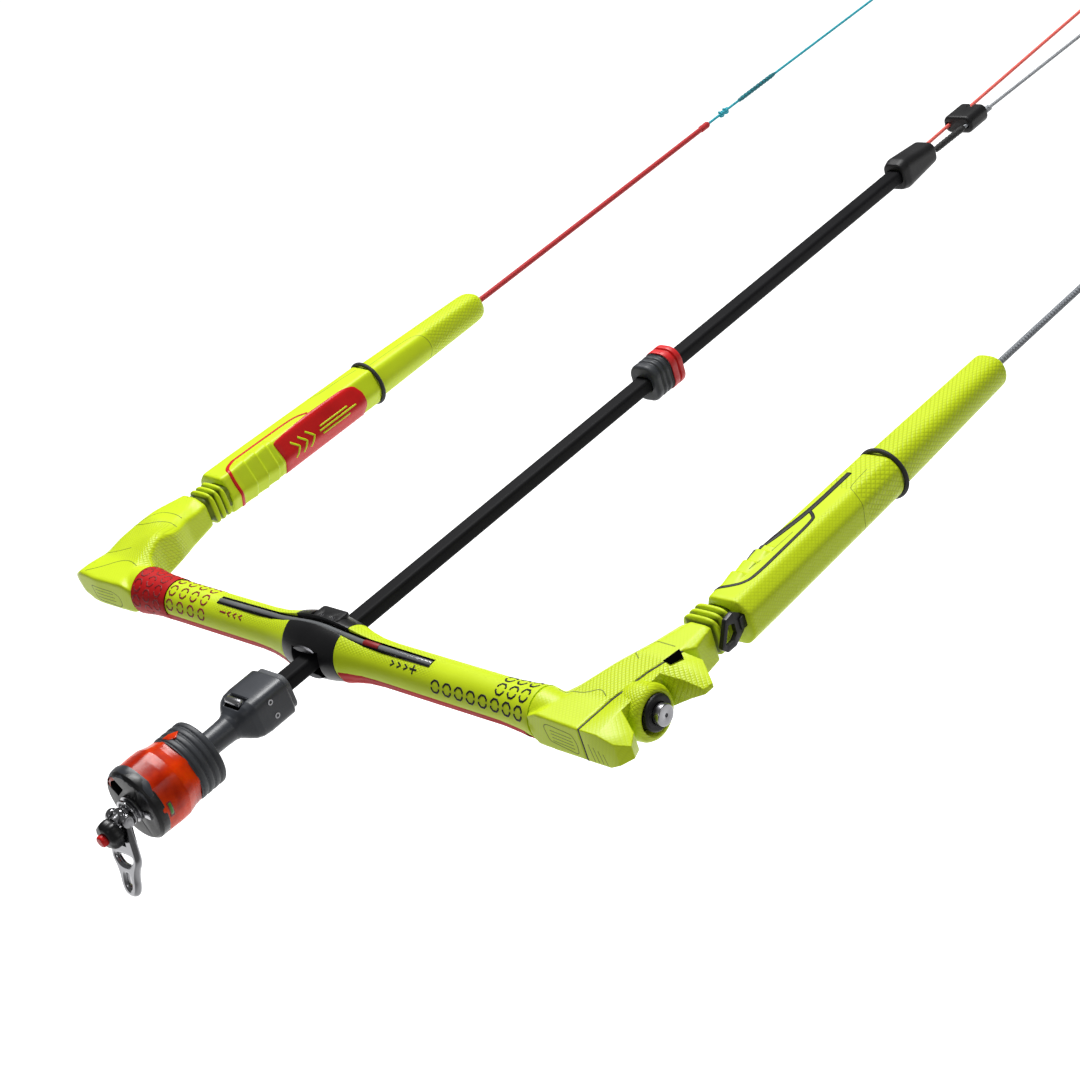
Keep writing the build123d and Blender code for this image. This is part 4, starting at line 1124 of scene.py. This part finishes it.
def make_shackle():
    """Cast steel bow with a cross bar and a long eye, and the two ears on the pin."""
    outer = half_outline([(9.4, 0), (9.8, -6), (11.6, -14), (13.8, -23), (13.6, -27), (10.4, -32),
                          (8.7, -37), (8.4, -43), (6.4, -48), (2.6, -50)])
    openings = [half_outline([(5.6, 6), (5.6, -6), (6.6, -14), (7.6, -18.5), (0.5, -18.5)]),
                half_outline([(8.6, -22.6), (9.0, -25.5), (5.0, -29.4), (0.5, -29.8)]),
                half_outline([(2.2, -35), (3.0, -38), (3.0, -43), (0.8, -45.5)])]
    runs = [[(x * MM, y * MM, 0) for x, y in outline] for outline in [outer] + openings]
    data = new_curve("shackle_curve", runs, True, dimensions="2D", fill_mode="BOTH",
                     extrude=0.0002, bevel_depth=0.0022, bevel_resolution=5, offset=-0.0019,
                     resolution_u=8)
    mesh = curve_mesh(data)
    verts = [shackle_frame @ v.co for v in mesh.vertices]
    faces = [tuple(face.vertices) for face in mesh.polygons]
    ears = []
    for side in (-1, 1):
        rows = [(5.4, 3.4), (5.4, 4.0), (5.9, 4.5), (9.4, 4.5), (9.9, 4.0), (9.9, 2.0)]
        ring = [shackle_frame @ Vector((side * x * MM, r * math.cos(a) * MM, r * math.sin(a) * MM))
                for x, r in rows for a in (math.tau * c / 40 for c in range(40))]
        ears.append((ring, ring_faces(len(rows), 40)))
    verts, faces = join_parts([(verts, faces)] + ears)
    make_piece("shackle_skin", verts, faces, "steel", "shackle", ("leash_shackle",))


make_shackle()


def knob_spot(row, turn):
    """Point of a section with seven soft lobes."""
    y, radius = row
    size = radius * (1 + 0.045 * math.cos(7 * turn))
    return size * math.cos(turn), y, -4.5 + size * math.sin(turn)


knob = [(-184.0, 6.0), (-184.2, 7.6), (-185.2, 8.7), (-187, 9.2), (-190, 9.1), (-192.2, 8.2),
        (-193.2, 6.8), (-193.4, 4.3)]
make_loft("knob_skin", knob, 112, knob_spot, "black_plastic", "shackle_cap",
          ("shackle_knob",))


# ==== knots, splices and sleeves on the lines ====

def route_points(name):
    """Points along a line's own curve, read from it without its thickness."""
    curve = lines[name].data.copy()
    curve.bevel_depth = 0.0
    return [v.co.copy() for v in curve_mesh(curve).vertices]


def at_y(points, y):
    """Point of a line at a given y in metres."""
    for p, q in zip(points, points[1:]):
        if p.y <= y <= q.y:
            return p + (q - p) * ((y - p.y) / (q.y - p.y))
    return points[-1] if y > points[-1].y else points[0]


def line_sleeve(name, route, y_from, y_to, radius, plaits, material=None):
    """Sleeve, splice or whipping on a line between two places, with plaited bulges."""
    points = route_points(route)
    rows = max(8, int((y_to - y_from) / 0.0008))

    def spot(share, turn):
        middle = at_y(points, y_from + (y_to - y_from) * share)
        ends = min(1.0, 0.55 + 6 * min(share, 1 - share))
        k = math.tau * share * plaits
        swell = 1.0 + 0.16 * max(math.sin(2 * turn + k), math.sin(2 * turn - k))
        return (middle + Vector((math.cos(turn), 0, math.sin(turn))) * radius * ends * swell) / MM

    body, line_material, line_slot = line_specs[route][1:]
    return make_loft(name, [r / rows for r in range(rows + 1)], 20, spot,
                     material or line_material, body)


def knot(name, route, y, size, thick):
    """Tight overhand knot on a line."""
    middle = at_y(route_points(route), y)
    points = []
    for i in range(36):
        t = math.tau * i / 36
        across = Vector((math.sin(t) + 2 * math.sin(2 * t), -1.5 * math.sin(3 * t),
                         math.cos(t) - 2 * math.cos(2 * t)))
        points.append(middle + across * size / 3)
    mesh = curve_mesh(new_curve(name, [points], True, dimensions="3D", bevel_depth=thick,
                                bevel_resolution=3))
    mesh.name = name
    body, material, slot = line_specs[route][1:]
    return dress(new_object(name, mesh), material, body)


on_lines = {
    "leader_left": [
        line_sleeve("leader_left_whipping", "leader_left", 0.727, 0.7385, 0.0027, 9),
    ],
    "pigtail_left": [
        knot("pigtail_knot_lower", "pigtail_left", 0.7605, 0.0024, 0.00125),
        knot("pigtail_knot_upper", "pigtail_left", 0.7675, 0.0024, 0.00125),
        line_sleeve("pigtail_splice", "pigtail_left", 0.787, 0.848, 0.0019, 12, "teal_splice"),
        knot("pigtail_end_knot", "pigtail_left", 1.0405, 0.0022, 0.0011),
    ],
    "leader_right": [
        knot("leader_right_end_knot", "leader_right", 0.5385, 0.0038, 0.0022),
    ],
    "front_line_left": [
        knot("front_left_end_knot", "front_line_left", 1.0095, 0.0026, 0.0014),
    ],
    "front_line_right": [
        line_sleeve("front_right_sleeve", "front_line_right", 0.709, 0.753, 0.0025, 10,
                    "black_cord"),
        line_sleeve("front_right_lashing", "front_line_right", 0.784, 0.792, 0.0024, 5),
        knot("front_right_end_knot", "front_line_right", 0.9565, 0.0026, 0.0014),
    ],
}
